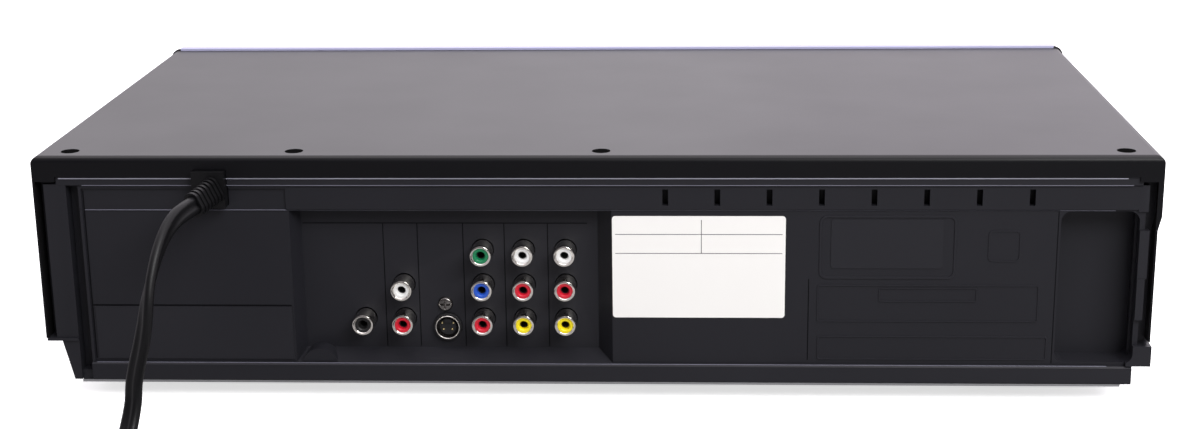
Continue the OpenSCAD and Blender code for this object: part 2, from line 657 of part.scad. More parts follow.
module front_trim() color([0.82, 0.82, 0.86]) trim_form(trim_end, 0, body_h * 2);
module display_window() color([0.05, 0.05, 0.07, 0.6]) along_y(face_y + 0.2, face_y + window_t)
  translate([loader_x, window_z]) rounded(window_w - 0.2, window_h - 0.2, 2);

module cassette_door() color([0.07, 0.07, 0.08]) {
  half = door_w / 2;
  difference() {
    union() {
      block(deck_x - half, deck_x + half, face_y, face_y + door_t, door_top - door_h, door_top);
      // lugs at the pivot, and stiffening ribs on the inner face
      for (s = [-1, 1]) block(deck_x + s * (half - 2) - 2, deck_x + s * (half - 2) + 2, face_y + door_t - 0.5,
        door_axis_y + 1.4, door_axis_z - 6, door_top);
      for (z = [door_top - 22, door_top - 14])
        block(deck_x - half + 8, deck_x + half - 8, face_y + door_t - 0.5, face_y + door_t + 1, z, z + 1.2);
    }
    // shallow finger scoop along the lower edge
    along_x(deck_x - 40, deck_x + 40) translate([face_y - 5.2, door_top - door_h + 8]) circle(6);
  }
  for (s = [-1, 1]) rod_x(door_axis_y, door_axis_z, deck_x + min(s * (half - 1), s * (half + door_pin)),
    deck_x + max(s * (half - 1), s * (half + door_pin)), door_pin_r);
}
// Torsion spring around the left pin: one leg lies on the front panel, the other on the door
spring_turns = 3;
spring_r = 1.75;
function spring_point(a) = [deck_x - ear_x + 0.45 + a / 360 * 0.75, door_axis_y + spring_r * sin(a),
  door_axis_z + spring_r * cos(a)];
module door_spring() color("silver") {
  turns = [for (a = [90 : 30 : 90 + spring_turns * 360]) spring_point(a)];
  last = turns[len(turns) - 1];
  sweep(concat([turns[0] + [-0.1, -0.75, 3.6], turns[0] + [-0.1, -0.3, 2]], turns,
    [last + [0.1, 0, -3], last + [0.5, 0.1, -4.5], last + [4, 0.1, -6]]),
    oval(0.3, 0.3, 6), [1, 0, 0.05], [for (i = [0 : len(turns) + 4]) 0]);
}

module key(x, z, w, h) {
  flange = face_y + wall + 0.2;
  along_y(face_y - 1, flange + 0.2) translate([x, z]) rounded(w, h, 1);
  along_y(flange, flange + cap_t) translate([x, z]) rounded(w + 2, h + 2, 1);
  block(x - 1.5, x + 1.5, flange, key_back - 2 - button_travel - 0.2, z - 1.5, z + 1.5);
}
module deck_key(k) color([0.3, 0.3, 0.32]) key(deck_x + (k - 2) * row_pitch, row_z, button_w, button_h);
module rewind_button() deck_key(0);
module play_button() deck_key(1);
module forward_button() deck_key(2);
module stop_button() deck_key(3);
module record_button() deck_key(4);
module eject_button() color([0.3, 0.3, 0.32]) key(eject_key_x, base_z + 22, button_w - 4, button_h);
module tray_button() color([0.3, 0.3, 0.32]) key(tray_key_x, tray_mid, 14, button_h);
module power_button() color([0.3, 0.3, 0.32]) {
  flange = face_y + wall + 0.2;
  rod_y(power_x, row_z, face_y - 1, flange + 0.2, power_r);
  rod_y(power_x, row_z, flange, flange + cap_t, power_r + 1);
  block(power_x - 1.5, power_x + 1.5, flange, key_back - 2 - button_travel - 0.2, row_z - 1.5, row_z + 1.5);
}
module tact_switch(x, z) {
  block(x - 3, x + 3, key_back - 1.4, key_back + 0.2, z - 3, z + 3);
  rod_y(x, z, key_back - 2, key_back, 1.4);
}
module key_board() color([0.1, 0.3, 0.16]) {
  block(12 - half_w, half_w - 12, key_back, board_y, base_z + 5, base_z + 52);
  block(tray_key_x - 8, half_w - 12, key_back, board_y, base_z + 51, tray_mid + 7);
  for (k = row_keys) tact_switch(deck_x + (k - 2) * row_pitch, row_z);
  tact_switch(eject_key_x, base_z + 22);
  tact_switch(tray_key_x, tray_mid);
  tact_switch(power_x, row_z);
  // display tube behind the window, and blocks of the front jacks
  block(loader_x - 48, loader_x + 48, key_back - 6, key_back + 0.2, window_z - 9, window_z + 9);
  for (x = front_jacks) difference() {
    block(x - 5.5, x + 5.5, face_y + wall, key_back + 0.2, front_jack_z - 6, front_jack_z + 6);
    rod_y(x, front_jack_z, face_y, face_y + wall + 6.5, jack_dia / 2 + 0.15);
  }
}

// ---------- jacks ----------

module shell_tube(l) difference() {
  union() {
    cylinder(r = jack_dia / 2, h = l);
    for (i = [0 : 4]) translate([0, 0, 1.2 + i * 1.3]) cylinder(r = jack_dia / 2 + 0.15, h = 0.6);
  }
  translate([0, 0, -over]) cylinder(r = jack_dia / 2 - shell_t, h = l + 2 * over);
}
module jack_insert(l) difference() {
  cylinder(r = jack_dia / 2 - shell_t, h = l - 0.4);
  translate([0, 0, 1]) cylinder(r = pin_hole / 2, h = l);
}
shell_l = shell_y - (back_y - 12);
module at_jacks() for (c = jack_cols, i = [0 : c[1] - 1])
  translate([c[0], back_y - 12, jack_z + i * jack_pitch]) rotate([-90, 0, 0]) children();
module at_front_jacks() for (x = front_jacks)
  translate([x, face_y + wall + 6.5, front_jack_z]) rotate([90, 0, 0]) children();
module jack_shells() color([0.8, 0.8, 0.82]) {
  at_jacks() shell_tube(shell_l);
  at_front_jacks() shell_tube(wall + 6.5 - 0.5);
}
insert_colors = [["yellow", "red", "white"], ["yellow", "red", "white"], ["red", "blue", "green"],
  ["red", "white"], [[0.1, 0.1, 0.1]]];
module jack_inserts() {
  for (c = [0 : len(jack_cols) - 1], i = [0 : jack_cols[c][1] - 1]) color(insert_colors[c][i])
    translate([jack_cols[c][0], back_y - 12, jack_z + i * jack_pitch]) rotate([-90, 0, 0]) jack_insert(shell_l);
  for (i = [0 : 2]) color(["yellow", "white", "red"][i])
    translate([front_jacks[i], face_y + wall + 6.5, front_jack_z]) rotate([90, 0, 0])
    jack_insert(wall + 6.5 - 0.5);
}
module svideo_jack() color([0.1, 0.1, 0.1]) translate([svideo_x, back_y - 12, svideo_z]) rotate([-90, 0, 0])
  difference() {
    cylinder(r = svideo_r + 0.7, h = 4);
    translate([0, 0, 1]) difference() {
      cylinder(r = svideo_r - 0.5, h = 4);
      cylinder(r = svideo_r - 1.3, h = 2.4);
    }
    for (p = [[-1.7, 1], [1.7, 1], [-2.2, -1.6], [2.2, -1.6]]) translate([p[0], p[1], 1]) cylinder(r = 0.5, h = 4);
    translate([-1.2, -3, 1]) cube([2.4, 1.2, 4]);
  }
module jack_board() color([0.12, 0.12, 0.13]) {
  y0 = jack_board_y;
  block(-4, 114, y0 - pcb_t, y0, base_z + 6, base_z + 66);
  for (c = jack_cols) block(c[0] - 6, c[0] + 6, y0 - 0.2, back_y - 12, jack_z - 7, jack_z + (c[1] - 1) * jack_pitch + 7);
  block(svideo_x - 7, svideo_x + 7, y0 - 0.2, back_y - 12, svideo_z - 7, svideo_z + 7);
}

// ---------- disc loader ----------

module disc_tray() color([0.12, 0.12, 0.13]) {
  difference() {
    block(loader_x - tray_w / 2, loader_x + tray_w / 2, tray_y0, tray_y1, tray_low, tray_z);
    post(loader_x, disc_y, tray_z - recess_t, tray_z + over, disc_recess / 2);
    post(loader_x, disc_y, tray_z - small_t, tray_z + over, small_recess / 2);
    block(loader_x - hub_slot / 2, loader_x + hub_slot / 2, disc_y, tray_y1 + over, tray_low - over, tray_z + over);
    post(loader_x, disc_y, tray_low - over, tray_z + over, hub_slot / 2);
    // finger cut-outs and weight-saving pockets at the rear
    for (s = [-1, 1]) block(loader_x + s * 47 - 12, loader_x + s * 47 + 12, disc_y + 66, tray_y1 - 8,
      tray_low + 1.6, tray_z + over);
  }
  translate([rack_x, gear_y, gear_z]) linear_extrude(tray_low - gear_z + 0.5) rack(-2, 45, 6);
}
module tray_front() color([0.07, 0.07, 0.08]) difference() {
  union() {
    along_y(face_y, tray_y0) translate([loader_x, tray_mid]) rounded(tray_front_w, tray_front_h, 1.5);
    block(loader_x - 50, loader_x + 50, tray_y0 - 0.5, tray_y0 + 5, tray_low - 2.2, tray_low);
  }
  along_x(loader_x - 30, loader_x + 30) translate([face_y - 4.4, tray_mid - tray_front_h / 2]) circle(5.4);
}
module loader_frame() color([0.16, 0.16, 0.17]) {
  w = frame_w / 2;
  z1 = bridge_z;
  difference() {
    block(loader_x - w, loader_x + w, frame_y0, frame_y1, frame_z, z1);
    block(loader_x - w + 2.4, loader_x + w - 2.4, frame_y0 - over, frame_y1 - 2.4, frame_z + frame_t, z1 + over);
    block(loader_x - w - over, loader_x + w + over, frame_y1 - 3, frame_y1 + over, tray_low - 3, z1 + over);
    // opening for the traverse plate, and the loader motor's shaft
    block(loader_x - 45, loader_x + 31, disc_y - 30, lift_y + 4, frame_z - over, frame_z + frame_t + over);
    post(motor_x, gear_y, frame_z - over, frame_z + frame_t + over, 2.5);
  }
  // rails that carry the tray, and lips that hold it down
  for (s = [-1, 1]) {
    x0 = min(s * (w - 9), s * (w - 2));
    x1 = max(s * (w - 9), s * (w - 2));
    block(loader_x + x0, loader_x + x1, frame_y0, frame_y1 - 2, tray_low - 2.3, tray_low - gap);
    for (y = [face_y + 29, face_y + 75, face_y + 119]) block(loader_x + min(s * (w - 7), s * (w - 2)), loader_x + max(s * (w - 7), s * (w - 2)),
      y, y + 8, tray_z + gap, tray_z + gap + 1.6);
    for (y = [frame_y0 + 12, frame_y1 - 12]) difference() {
      block(loader_x + min(s * w, s * (w + 9)), loader_x + max(s * w, s * (w + 9)), y - 5, y + 5, frame_z, frame_z + frame_t);
      post(loader_x + s * (w + 5), y, frame_z - over, frame_z + frame_t + over, 1.6);
    }
  }
  // post of the loader gear, and ears of the traverse's pivot
  post(gear_x, gear_y, frame_z + frame_t - 0.5, gear_z + gear_t - 0.4, post_r);
  for (x = [loader_x - 47, loader_x + 33]) difference() {
    block(x - 2, x + 2, lift_y - 4, lift_y + 6, frame_z, lift_z + 4);
    rod_x(lift_y, lift_z, x - 3, x + 3, pivot_r + run);
  }
}
module loader_gear() color([0.85, 0.82, 0.72]) translate([gear_x, gear_y, 0]) {
  translate([0, 0, gear_z]) gear(loader_teeth, gear_t, post_r + run);
  difference() {
    union() {
      translate([0, 0, pulley_z]) cylinder(r = pulley_r, h = pulley_t);
      translate([0, 0, pulley_z + pulley_t - over]) cylinder(r = 4, h = gear_z - pulley_z - pulley_t + over);
    }
    translate([0, 0, pulley_z - over]) cylinder(r = post_r + run, h = 20);
    translate([0, 0, pulley_z + 1]) difference() {
      cylinder(r = pulley_r + over, h = pulley_t - 2);
      cylinder(r = pulley_r - groove, h = pulley_t - 2);
    }
  }
}
module motor_pulley() color([0.85, 0.82, 0.72]) translate([motor_x, gear_y, pulley_z]) difference() {
  cylinder(r = small_pulley_r, h = pulley_t);
  translate([0, 0, -over]) cylinder(r = 1 + run, h = pulley_t + 2 * over);
  translate([0, 0, 1]) difference() {
    cylinder(r = small_pulley_r + over, h = pulley_t - 2);
    cylinder(r = small_pulley_r - groove, h = pulley_t - 2);
  }
}
// A round-ended outline around two pulleys of radii a and b whose centres are l apart
module belt_outline(a, b, l) hull() {
  circle(a);
  translate([l, 0]) circle(b);
}
module loader_belt() color([0.05, 0.05, 0.05]) translate([motor_x, gear_y, pulley_z + pulley_t / 2 - 0.6])
  linear_extrude(1.2) difference() {
    belt_outline(small_pulley_r - groove + 0.1 + belt_t, pulley_r - groove + 0.1 + belt_t, gear_x - motor_x);
    belt_outline(small_pulley_r - groove + 0.1, pulley_r - groove + 0.1, gear_x - motor_x);
  }
module loader_motor() color([0.7, 0.7, 0.72]) {
  post(motor_x, gear_y, frame_z - 15, frame_z, 12);
  post(motor_x, gear_y, frame_z - 0.5, pulley_z + pulley_t, 1);
}

module traverse_plate() color([0.55, 0.56, 0.58]) difference() {
  union() {
    block(loader_x - 42, loader_x + 30, disc_y - 20, lift_y - 2, plate_z, plate_z + plate_t);
    block(loader_x - 36, loader_x + 22, lift_y - 3, lift_y, plate_z, plate_z + plate_t);
    rod_x(lift_y, lift_z, loader_x - 48.7, loader_x + 34.7, pivot_r);
    // lugs that hold the guide rods
    for (x = [-rod_x, rod_x], y = [rod_y0, rod_y1])
      block(loader_x + x - 2.6, loader_x + x + 2.6, y - 2, y + 2, plate_z + plate_t - 0.5, rod_z + rod_r + 1.2);
    post(loader_x + feed_rack - feed_r, feed_y, plate_z + plate_t - 0.5, feed_z + gear_t - 0.4, 1.2);
  }
  block(loader_x - 15, loader_x + 15, disc_y + 15, lift_y - 12, plate_z - over, plate_z + plate_t + over);
  for (x = [-rod_x, rod_x]) rod_y(loader_x + x, rod_z, rod_y0 - 2.5, rod_y1 + 2.5, rod_r);
}
module guide_rods() color([0.8, 0.8, 0.82])
  for (x = [-rod_x, rod_x]) rod_y(loader_x + x, rod_z, rod_y0 - 2, rod_y1 + 2, rod_r);
module spindle_motor() color([0.7, 0.7, 0.72]) {
  post(loader_x, disc_y, plate_z + plate_t, plate_z + plate_t + spindle_t, spindle_r);
  post(loader_x, disc_y, plate_z + plate_t, table_z - 0.6, 1);
}
module turntable() color([0.1, 0.1, 0.1]) difference() {
  union() {
    post(loader_x, disc_y, table_z - table_t, table_z, table_r);
    translate([loader_x, disc_y, table_z]) cylinder(r1 = 7.4, r2 = 6.6, h = 2.4);
    post(loader_x, disc_y, plate_z + plate_t + spindle_t + 0.3, table_z - table_t + 0.5, 3);
  }
  post(loader_x, disc_y, plate_z, table_z - 0.4, 1 + run);
}
module pickup() color([0.2, 0.2, 0.22]) {
  z0 = plate_z + plate_t + 1.6;
  difference() {
    union() {
      block(loader_x - 26.5, loader_x + 26.5, lens_y - 8, lens_y + 12, z0, rod_z + rod_r + 1.6);
      block(loader_x - 17, loader_x + 17, lens_y - 8, lens_y + 8, z0, tray_low - gap);
    }
    for (x = [-rod_x, rod_x]) rod_y(loader_x + x, rod_z, lens_y - 20, lens_y + 20, rod_r + run);
  }
  post(loader_x, lens_y, z0, tray_low + 1.4, 4.5);
  // rack along the -X side, for the feed gear
  translate([loader_x + feed_rack, feed_y, feed_z]) linear_extrude(gear_t) rack(-12, 1, 3.4);
}
module feed_gear() color([0.85, 0.82, 0.72])
  translate([loader_x + feed_rack - feed_r, feed_y, feed_z]) gear(feed_teeth, gear_t, 1.2 + run);

module clamp_bridge() color([0.6, 0.6, 0.62]) difference() {
  block(loader_x - frame_w / 2, loader_x + frame_w / 2, disc_y - 17, disc_y + 17, bridge_z, bridge_z + bridge_t);
  post(loader_x, disc_y, bridge_z - over, bridge_z + bridge_t + over, puck_hole);
  for (s = [-1, 1]) block(loader_x + s * 42 - 14, loader_x + s * 42 + 14, disc_y - 8, disc_y + 8,
    bridge_z - over, bridge_z + bridge_t + over);
}
module clamp_puck() color([0.15, 0.15, 0.16]) difference() {
  union() {
    post(loader_x, disc_y, tray_z + gap, table_z + 3.9, table_r);
    post(loader_x, disc_y, table_z + 3.4, bridge_z + bridge_t + 1, puck_hole - 0.8);
    post(loader_x, disc_y, bridge_z + bridge_t + 0.3, bridge_z + bridge_t + 1.9, puck_hole + 2);
  }
  post(loader_x, disc_y, table_z + 1, table_z + 3, 8.4);
}

// ---------- tape deck ----------

module arc_slot(start, turn) translate([deck_x, drum_y, deck_z - over]) rotate([0, 0, start])
  rotate_extrude(angle = turn) translate([guide_r - guide_slot / 2, 0]) square([guide_slot, deck_t + 2 * over]);
module deck_plate() color([0.62, 0.63, 0.65]) {
  difference() {
    union() {
      block(deck_x - deck_w / 2, deck_x + deck_w / 2, deck_y0, deck_y1, deck_z, deck_top);
      for (s = [-1, 1]) block(deck_x + min(s * side_x, s * (side_x + deck_t)), deck_x + max(s * side_x, s * (side_x + deck_t)),
        holder_y0, side_y1, deck_z, slider_top + 3);
      for (s = [-1, 1]) block(deck_x + min(s * (deck_w / 2 - 1), s * (side_x + deck_t)),
        deck_x + max(s * (deck_w / 2 - 1), s * (side_x + deck_t)), holder_y0, side_y1, deck_z, deck_top);
    }
    arc_slot(guide_start - 90 - 3, guide_turn + 6);
    arc_slot(-90 - guide_start - guide_turn - 3, guide_turn + 6);
    post(capstan_x, capstan_y, deck_z - over, deck_top + over, 1.5 + run);
    post(cam_x, loading_y, deck_z - over, deck_top + over, 2);
    // level slots for the slider's pins
    for (s = [-1, 1]) block(deck_x + s * (side_x + 0.6) - 1.2, deck_x + s * (side_x + 0.6) + 1.2,
      slider_y - slider_l / 2 + 2, slider_y + slider_l / 2 + holder_travel - 2,
      slider_pin_z - pivot_r - 0.2, slider_pin_z + pivot_r + 0.2);
    // openings that lighten the plate
    block(deck_x - 22, deck_x + 22, deck_y0 + 12, reel_y + 11, deck_z - over, deck_top + over);
  }
  // posts of the reels, the cam gear and the pinch arm, and the capstan's bearing
  for (s = [-1, 1]) post(deck_x + s * reel_dx, reel_y, deck_z, deck_top + 14, 2);
  post(cam_x, cam_y, deck_z, cam_z + cam_t + 1, 2);
  post(pinch_x, pinch_y, deck_z, deck_top + 16, 2);
  difference() {
    post(capstan_x, capstan_y, deck_top - 0.2, deck_top + bearing_h, 5);
    post(capstan_x, capstan_y, deck_z - over, deck_top + 10, 1.5 + run);
  }
  // erase head on the left, sound head on the right
  for (h = [[-43, -42, 9], [63.5, 6, 7]]) {
    post(deck_x + h[0], drum_y + h[1], deck_z, deck_top + 8, 2);
    block(deck_x + h[0] - h[2] / 2, deck_x + h[0] + h[2] / 2, drum_y + h[1] - 4, drum_y + h[1] + 4,
      deck_top + 7.5, deck_top + 22);
  }
}
module holder_slider() color([0.66, 0.67, 0.7]) {
  y0 = slider_y - slider_l / 2;
  y1 = slider_y + slider_l / 2;
  for (s = [-1, 1]) difference() {
    block(deck_x + min(s * slider_x, s * (slider_x + slider_t)), deck_x + max(s * slider_x, s * (slider_x + slider_t)),
      y0, y1, holder_z0 + 1, slider_top + 1.2);
    block(deck_x + s * (slider_x + slider_t / 2) - 2, deck_x + s * (slider_x + slider_t / 2) + 2,
      slider_y - pivot_r - 0.2, slider_y + pivot_r + 0.2, holder_pin_z - holder_drop - pivot_r - 0.3,
      holder_pin_z + pivot_r + 0.2);
  }
  block(deck_x - slider_x - slider_t, deck_x + slider_x + slider_t, slider_y - 6, slider_y + 6, slider_top, slider_top + 1.2);
  for (s = [-1, 1], y = [y0 + 4, y1 - 4])
    rod_x(y, slider_pin_z, deck_x + min(s * (slider_x + slider_t), s * (side_x + deck_t)),
      deck_x + max(s * (slider_x + slider_t), s * (side_x + deck_t)), pivot_r);
}
module cassette_holder() color([0.66, 0.67, 0.7]) {
  x1 = holder_in + holder_t;
  z1 = holder_z0 + holder_t + cassette_h;
  difference() {
    block(deck_x - x1, deck_x + x1, holder_y0, holder_y1, holder_z0, z1 + holder_t);
    block(deck_x - holder_in, deck_x + holder_in, holder_y0 - over, holder_y1 + over, holder_z0 + holder_t, z1);
    block(deck_x - 86, deck_x + 86, holder_y0 - over, holder_y1 + over, holder_z0 - over, z1 - over);
    block(deck_x - 60, deck_x + 60, holder_y0 - over, holder_y0 + 24, z1 - over, z1 + 2 * over);
  }
  // stops behind the cassette, and pins in the slider's slots
  for (s = [-1, 1]) {
    block(deck_x + min(s * 78, s * x1), deck_x + max(s * 78, s * x1), holder_y1 - holder_t, holder_y1, holder_z0, holder_z0 + 14);
    rod_x(slider_y, holder_pin_z, deck_x + min(s * x1, s * (slider_x + slider_t - 0.2)),
      deck_x + max(s * x1, s * (slider_x + slider_t - 0.2)), pivot_r);
  }
}
module drum_base() color([0.75, 0.76, 0.78]) {
  post(deck_x, drum_y, deck_top, deck_top + 3, drum_r + 3);
  intersection() {
    translate([deck_x, drum_y, drum_mid]) rotate([drum_tilt, 0, 0]) translate([0, 0, -30]) cylinder(r = drum_r, h = 30);
    post(deck_x, drum_y, deck_top + 1, drum_mid + 20, drum_r * 2);
  }
  translate([deck_x, drum_y, drum_mid]) rotate([drum_tilt, 0, 0]) translate([0, 0, -1]) cylinder(r = 3, h = drum_top_h + 3);
}
module head_drum() color([0.82, 0.83, 0.85])
  translate([deck_x, drum_y, drum_mid]) rotate([drum_tilt, 0, 0]) difference() {
    union() {
      translate([0, 0, gap]) cylinder(r = drum_r, h = drum_top_h);
      translate([0, 0, drum_top_h]) cylinder(r = 14, h = 2);
    }
    cylinder(r = 3 + run, h = 40);
    // sunk ring and head windows
    translate([0, 0, drum_top_h - 3]) difference() {
      cylinder(r = drum_r - 3, h = 10);
      cylinder(r = 16, h = 10);
    }
    for (a = [0, 180]) rotate([0, 0, a]) translate([drum_r - 2, -2, 0]) cube([4, 4, 2.2]);
  }
module capstan() color([0.75, 0.76, 0.78]) {
  post(capstan_x, capstan_y, floor_z + 5.3, deck_top + 28, 1.5);
  difference() {
    post(capstan_x, capstan_y, deck_z - 11, deck_z - 6, flywheel_r);
    post(capstan_x, capstan_y, deck_z - 8, deck_z - 5, flywheel_r - 6);
  }
  post(capstan_x, capstan_y, deck_z - 8.5, deck_z - 3, 6);
}
roller_x = pinch_x + pinch_arm_l * cos(pinch_rest);
roller_y = pinch_y + pinch_arm_l * sin(pinch_rest);
module pinch_arm() color([0.6, 0.6, 0.62]) {
  difference() {
    union() {
      translate([0, 0, deck_top + 5]) linear_extrude(1.6) {
        translate([pinch_x, pinch_y]) circle(5);
        translate([roller_x, roller_y]) circle(4);
        translate([pinch_x, pinch_y]) rotate(pinch_rest) translate([0, -3]) square([pinch_arm_l, 6]);
      }
      post(pinch_x, pinch_y, deck_top + 0.3, deck_top + 14, 4);
    }
    post(pinch_x, pinch_y, deck_top, deck_top + 15, 2 + run);
  }
  post(roller_x, roller_y, deck_top + 6, deck_top + 24, 1.5);
}
module pinch_roller() color([0.08, 0.08, 0.08]) difference() {
  post(roller_x, roller_y, deck_top + 7, deck_top + 22, roller_r);
  post(roller_x, roller_y, deck_top + 6, deck_top + 23, 1.5 + run);
}
module reel(x) color([0.9, 0.9, 0.88]) difference() {
  union() {
    post(x, reel_y, deck_top + 0.4, deck_top + 6, reel_r - 2);
    post(x, reel_y, deck_top + 6, deck_top + 10, reel_r);
    post(x, reel_y, deck_top + 9, deck_top + 21, 4.6);
    translate([x, reel_y, deck_top + 21]) cylinder(r1 = 4.6, r2 = 2, h = 3);
    for (a = [0, 120, 240]) translate([x, reel_y, deck_top + 10]) rotate([0, 0, a]) translate([4, -1, 0]) cube([3, 2, 9]);
  }
  post(x, reel_y, deck_top, deck_top + 14.4, 2 + run);
}
module supply_reel() reel(deck_x - reel_dx);
module takeup_reel() reel(deck_x + reel_dx);
module guide(side) {
  x = deck_x + side * guide_r * sin(guide_start);
  y = drum_y - guide_r * cos(guide_start);
  color([0.75, 0.72, 0.6]) {
    post(x, y, deck_top + 0.3, deck_top + 4, 5.5);
    post(x, y, deck_z - 3, deck_top + 1, guide_slot / 2 - 0.4);
    post(x, y, deck_z - 3, deck_z - 0.3, 4.5);
    post(x, y, deck_top + 3, deck_top + 26, 1.5);
    post(x, y, deck_top + 5, deck_top + 22, 2.8);
    post(x, y, deck_top + 25, deck_top + 26.5, 3);
  }
}
module left_guide() guide(-1);
module right_guide() guide(1);
module cam_gear() color([0.85, 0.82, 0.72]) difference() {
  union() {
    translate([cam_x, cam_y, cam_z]) gear(cam_teeth, cam_t, 2 + run);
    post(cam_x, cam_y, deck_top + 0.3, cam_z + 0.5, 5);
  }
  post(cam_x, cam_y, deck_top, cam_z + cam_t + 1, 2 + run);
  // the cam track on its upper face
  translate([cam_x + 2, cam_y, cam_z + cam_t - 1.5]) difference() {
    cylinder(r = cam_r - 5, h = 4);
    cylinder(r = cam_r - 8, h = 4);
  }
}
module loading_motor() color([0.7, 0.7, 0.72]) {
  post(cam_x, loading_y, deck_z - 17, deck_z, 12);
  post(cam_x, loading_y, deck_z - 1, cam_z + cam_t, 1);
}
module loading_pinion() color([0.85, 0.82, 0.72]) translate([cam_x, loading_y, cam_z])
  rotate([0, 0, 90 + 180 / loading_n]) gear(loading_n, cam_t, 1 + run);

// ---------- boards ----------

module chip(x, y, w, d, h) block(x - w / 2, x + w / 2, y - d / 2, y + d / 2, board_z + pcb_t - 0.2, board_z + pcb_t + h);
module can(x, y, r, h) post(x, y, board_z + pcb_t - 0.2, board_z + pcb_t + h, r);
module main_board() color([0.1, 0.3, 0.16]) {
  difference() {
    block(main_x0, main_x1, main_y0, main_y1, board_z, board_z + pcb_t);
    for (y = [frame_y0 + 12, frame_y1 - 12]) post(loader_x - frame_w / 2 - 5, y, board_z - over, board_z + 3, 5);
  }
  chip(main_x0 + 40, main_y0 + 60, 28, 28, 2.5);
  chip(main_x0 + 80, main_y0 + 60, 12, 20, 1.6);
  chip(main_x0 + 40, main_y0 + 110, 20, 14, 2);
  for (y = [main_y0 + 20 : 24 : main_y1 - 20]) can(main_x0 + 12, y, 4, 9);
  for (x = [main_x0 + 34 : 14 : main_x1 - 20]) can(x, main_y0 + 18, 2.5, 7);
  block(main_x0 + 30, main_x1 - 30, main_y1 - 8, main_y1 - 3, board_z + 1, board_z + pcb_t + 6);
}
module power_board() color([0.55, 0.42, 0.2]) {
  mid = (power_x0 + power_x1) / 2;
  difference() {
    block(power_x0, power_x1, power_y0, power_y1, board_z, board_z + pcb_t);
    post(loader_x + frame_w / 2 + 5, frame_y1 - 12, board_z - over, board_z + 3, 5);
  }
  // transformer, heat sink, capacitors, fuse and connector
  y = power_y0;
  block(mid - 20, mid + 16, y + 66, y + 100, board_z + 1, board_z + 30);
  block(mid - 24, mid + 20, y + 74, y + 92, board_z + 1, board_z + 24);
  for (i = [0 : 5]) block(power_x0 + 8 + i * 4, power_x0 + 9.5 + i * 4, y + 26, y + 58, board_z + 1, board_z + 27);
  block(power_x0 + 8, power_x0 + 29.5, y + 41, y + 44, board_z + 1, board_z + 27);
  can(power_x1 - 15.5, y + 36, 11, 26);
  can(power_x1 - 13.5, y + 118, 8, 20);
  can(mid - 14, y + 126, 5, 14);
  block(power_x0 + 12, power_x0 + 34, power_y1 - 22, power_y1 - 16, board_z + 1, board_z + 9);
  block(power_x0 + 14, power_x0 + 44, y + 4, y + 10, board_z + 1, board_z + 9);
}

// ---------- cord ----------

module boot_outline(w, h) rotate(relief_lean) rounded(w, h, w / 2 - 0.2);
module strain_relief() color([0.05, 0.05, 0.055]) {
  rear(relief_x - relief_w / 2, relief_x + relief_w / 2, relief_lo, relief_hi, -relief_proud, inner_d + 1.5);
  translate([relief_x - relief_off, back_y + relief_proud - 1, relief_z])
    rotate([-90 - relief_droop, 0, -relief_turn]) difference() {
      union() {
        linear_extrude(relief_l) boot_outline(boot_w, boot_h);
        for (i = [0 : relief_fins - 1]) translate([0, 0, 1.4 + i * 2.9])
          linear_extrude(1.4) boot_outline(boot_w + 1.2 - i * 0.08, boot_h + 2 - i * 0.15);
      }
      translate([0, 0, relief_l - 2]) linear_extrude(3) boot_outline(cord_t + 0.2, cord_w + 0.2);
    }
}
module power_cord() color([0.04, 0.04, 0.045]) {
  sweep(route, oval(cord_w / 2, cord_half_t, 10), [1, 0, 0],
    [for (i = [0 : len(route) - 1]) -twist_start * max(0, 1 - i / twist_over)]);
  sweep(tail, oval(cord_w / 2, cord_half_t, 10), [0, 1, 0], [for (i = [0 : len(tail) - 1]) 0]);
}
module cord_coil() color([0.04, 0.04, 0.045]) translate([coil_x, coil_y, 0.1]) rotate_extrude()
  translate([coil_r, coil_h / 2]) rounded(coil_w, coil_h, 1.8);
module power_plug() color([0.05, 0.05, 0.055]) translate([plug_x, plug_y, plug_t / 2 + 0.1]) {
  translate([-plug_l, -plug_w / 2, -plug_t / 2]) cube([plug_l * 0.6, plug_w, plug_t]);
  translate([-plug_l * 0.5, -plug_w / 2 + 3, -plug_t / 2 + 1]) cube([plug_l * 0.5, plug_w - 6, plug_t - 2]);
  for (s = [-1, 1]) translate([-plug_l - blade_l, s * blade_gap / 2 - blade_t / 2, -blade_w / 2])
    cube([blade_l + 1, blade_t, blade_w]);
}

chassis();
bottom_plate();
rear_panel_whole();  // rear_panel
top_cover();
front_panel();
front_trim();
display_window();
cassette_door();
door_spring();
tray_front();
disc_tray();
power_button();
tray_button();
eject_button();
rewind_button();
play_button();
forward_button();
stop_button();
record_button();
loader_frame();
loader_gear();
loader_motor();
motor_pulley();
loader_belt();
traverse_plate();
spindle_motor();
turntable();
pickup();
guide_rods();
feed_gear();
clamp_bridge();
clamp_puck();
deck_plate();
holder_slider();
cassette_holder();
drum_base();
head_drum();
capstan();
pinch_arm();
pinch_roller();
supply_reel();
takeup_reel();
left_guide();
right_guide();
cam_gear();
loading_motor();
loading_pinion();
main_board();
power_board();
jack_board();
key_board();
jack_shells();
jack_inserts();
svideo_jack();
feet();
cover_screws();
strain_relief();
power_cord();
cord_coil();
power_plug();
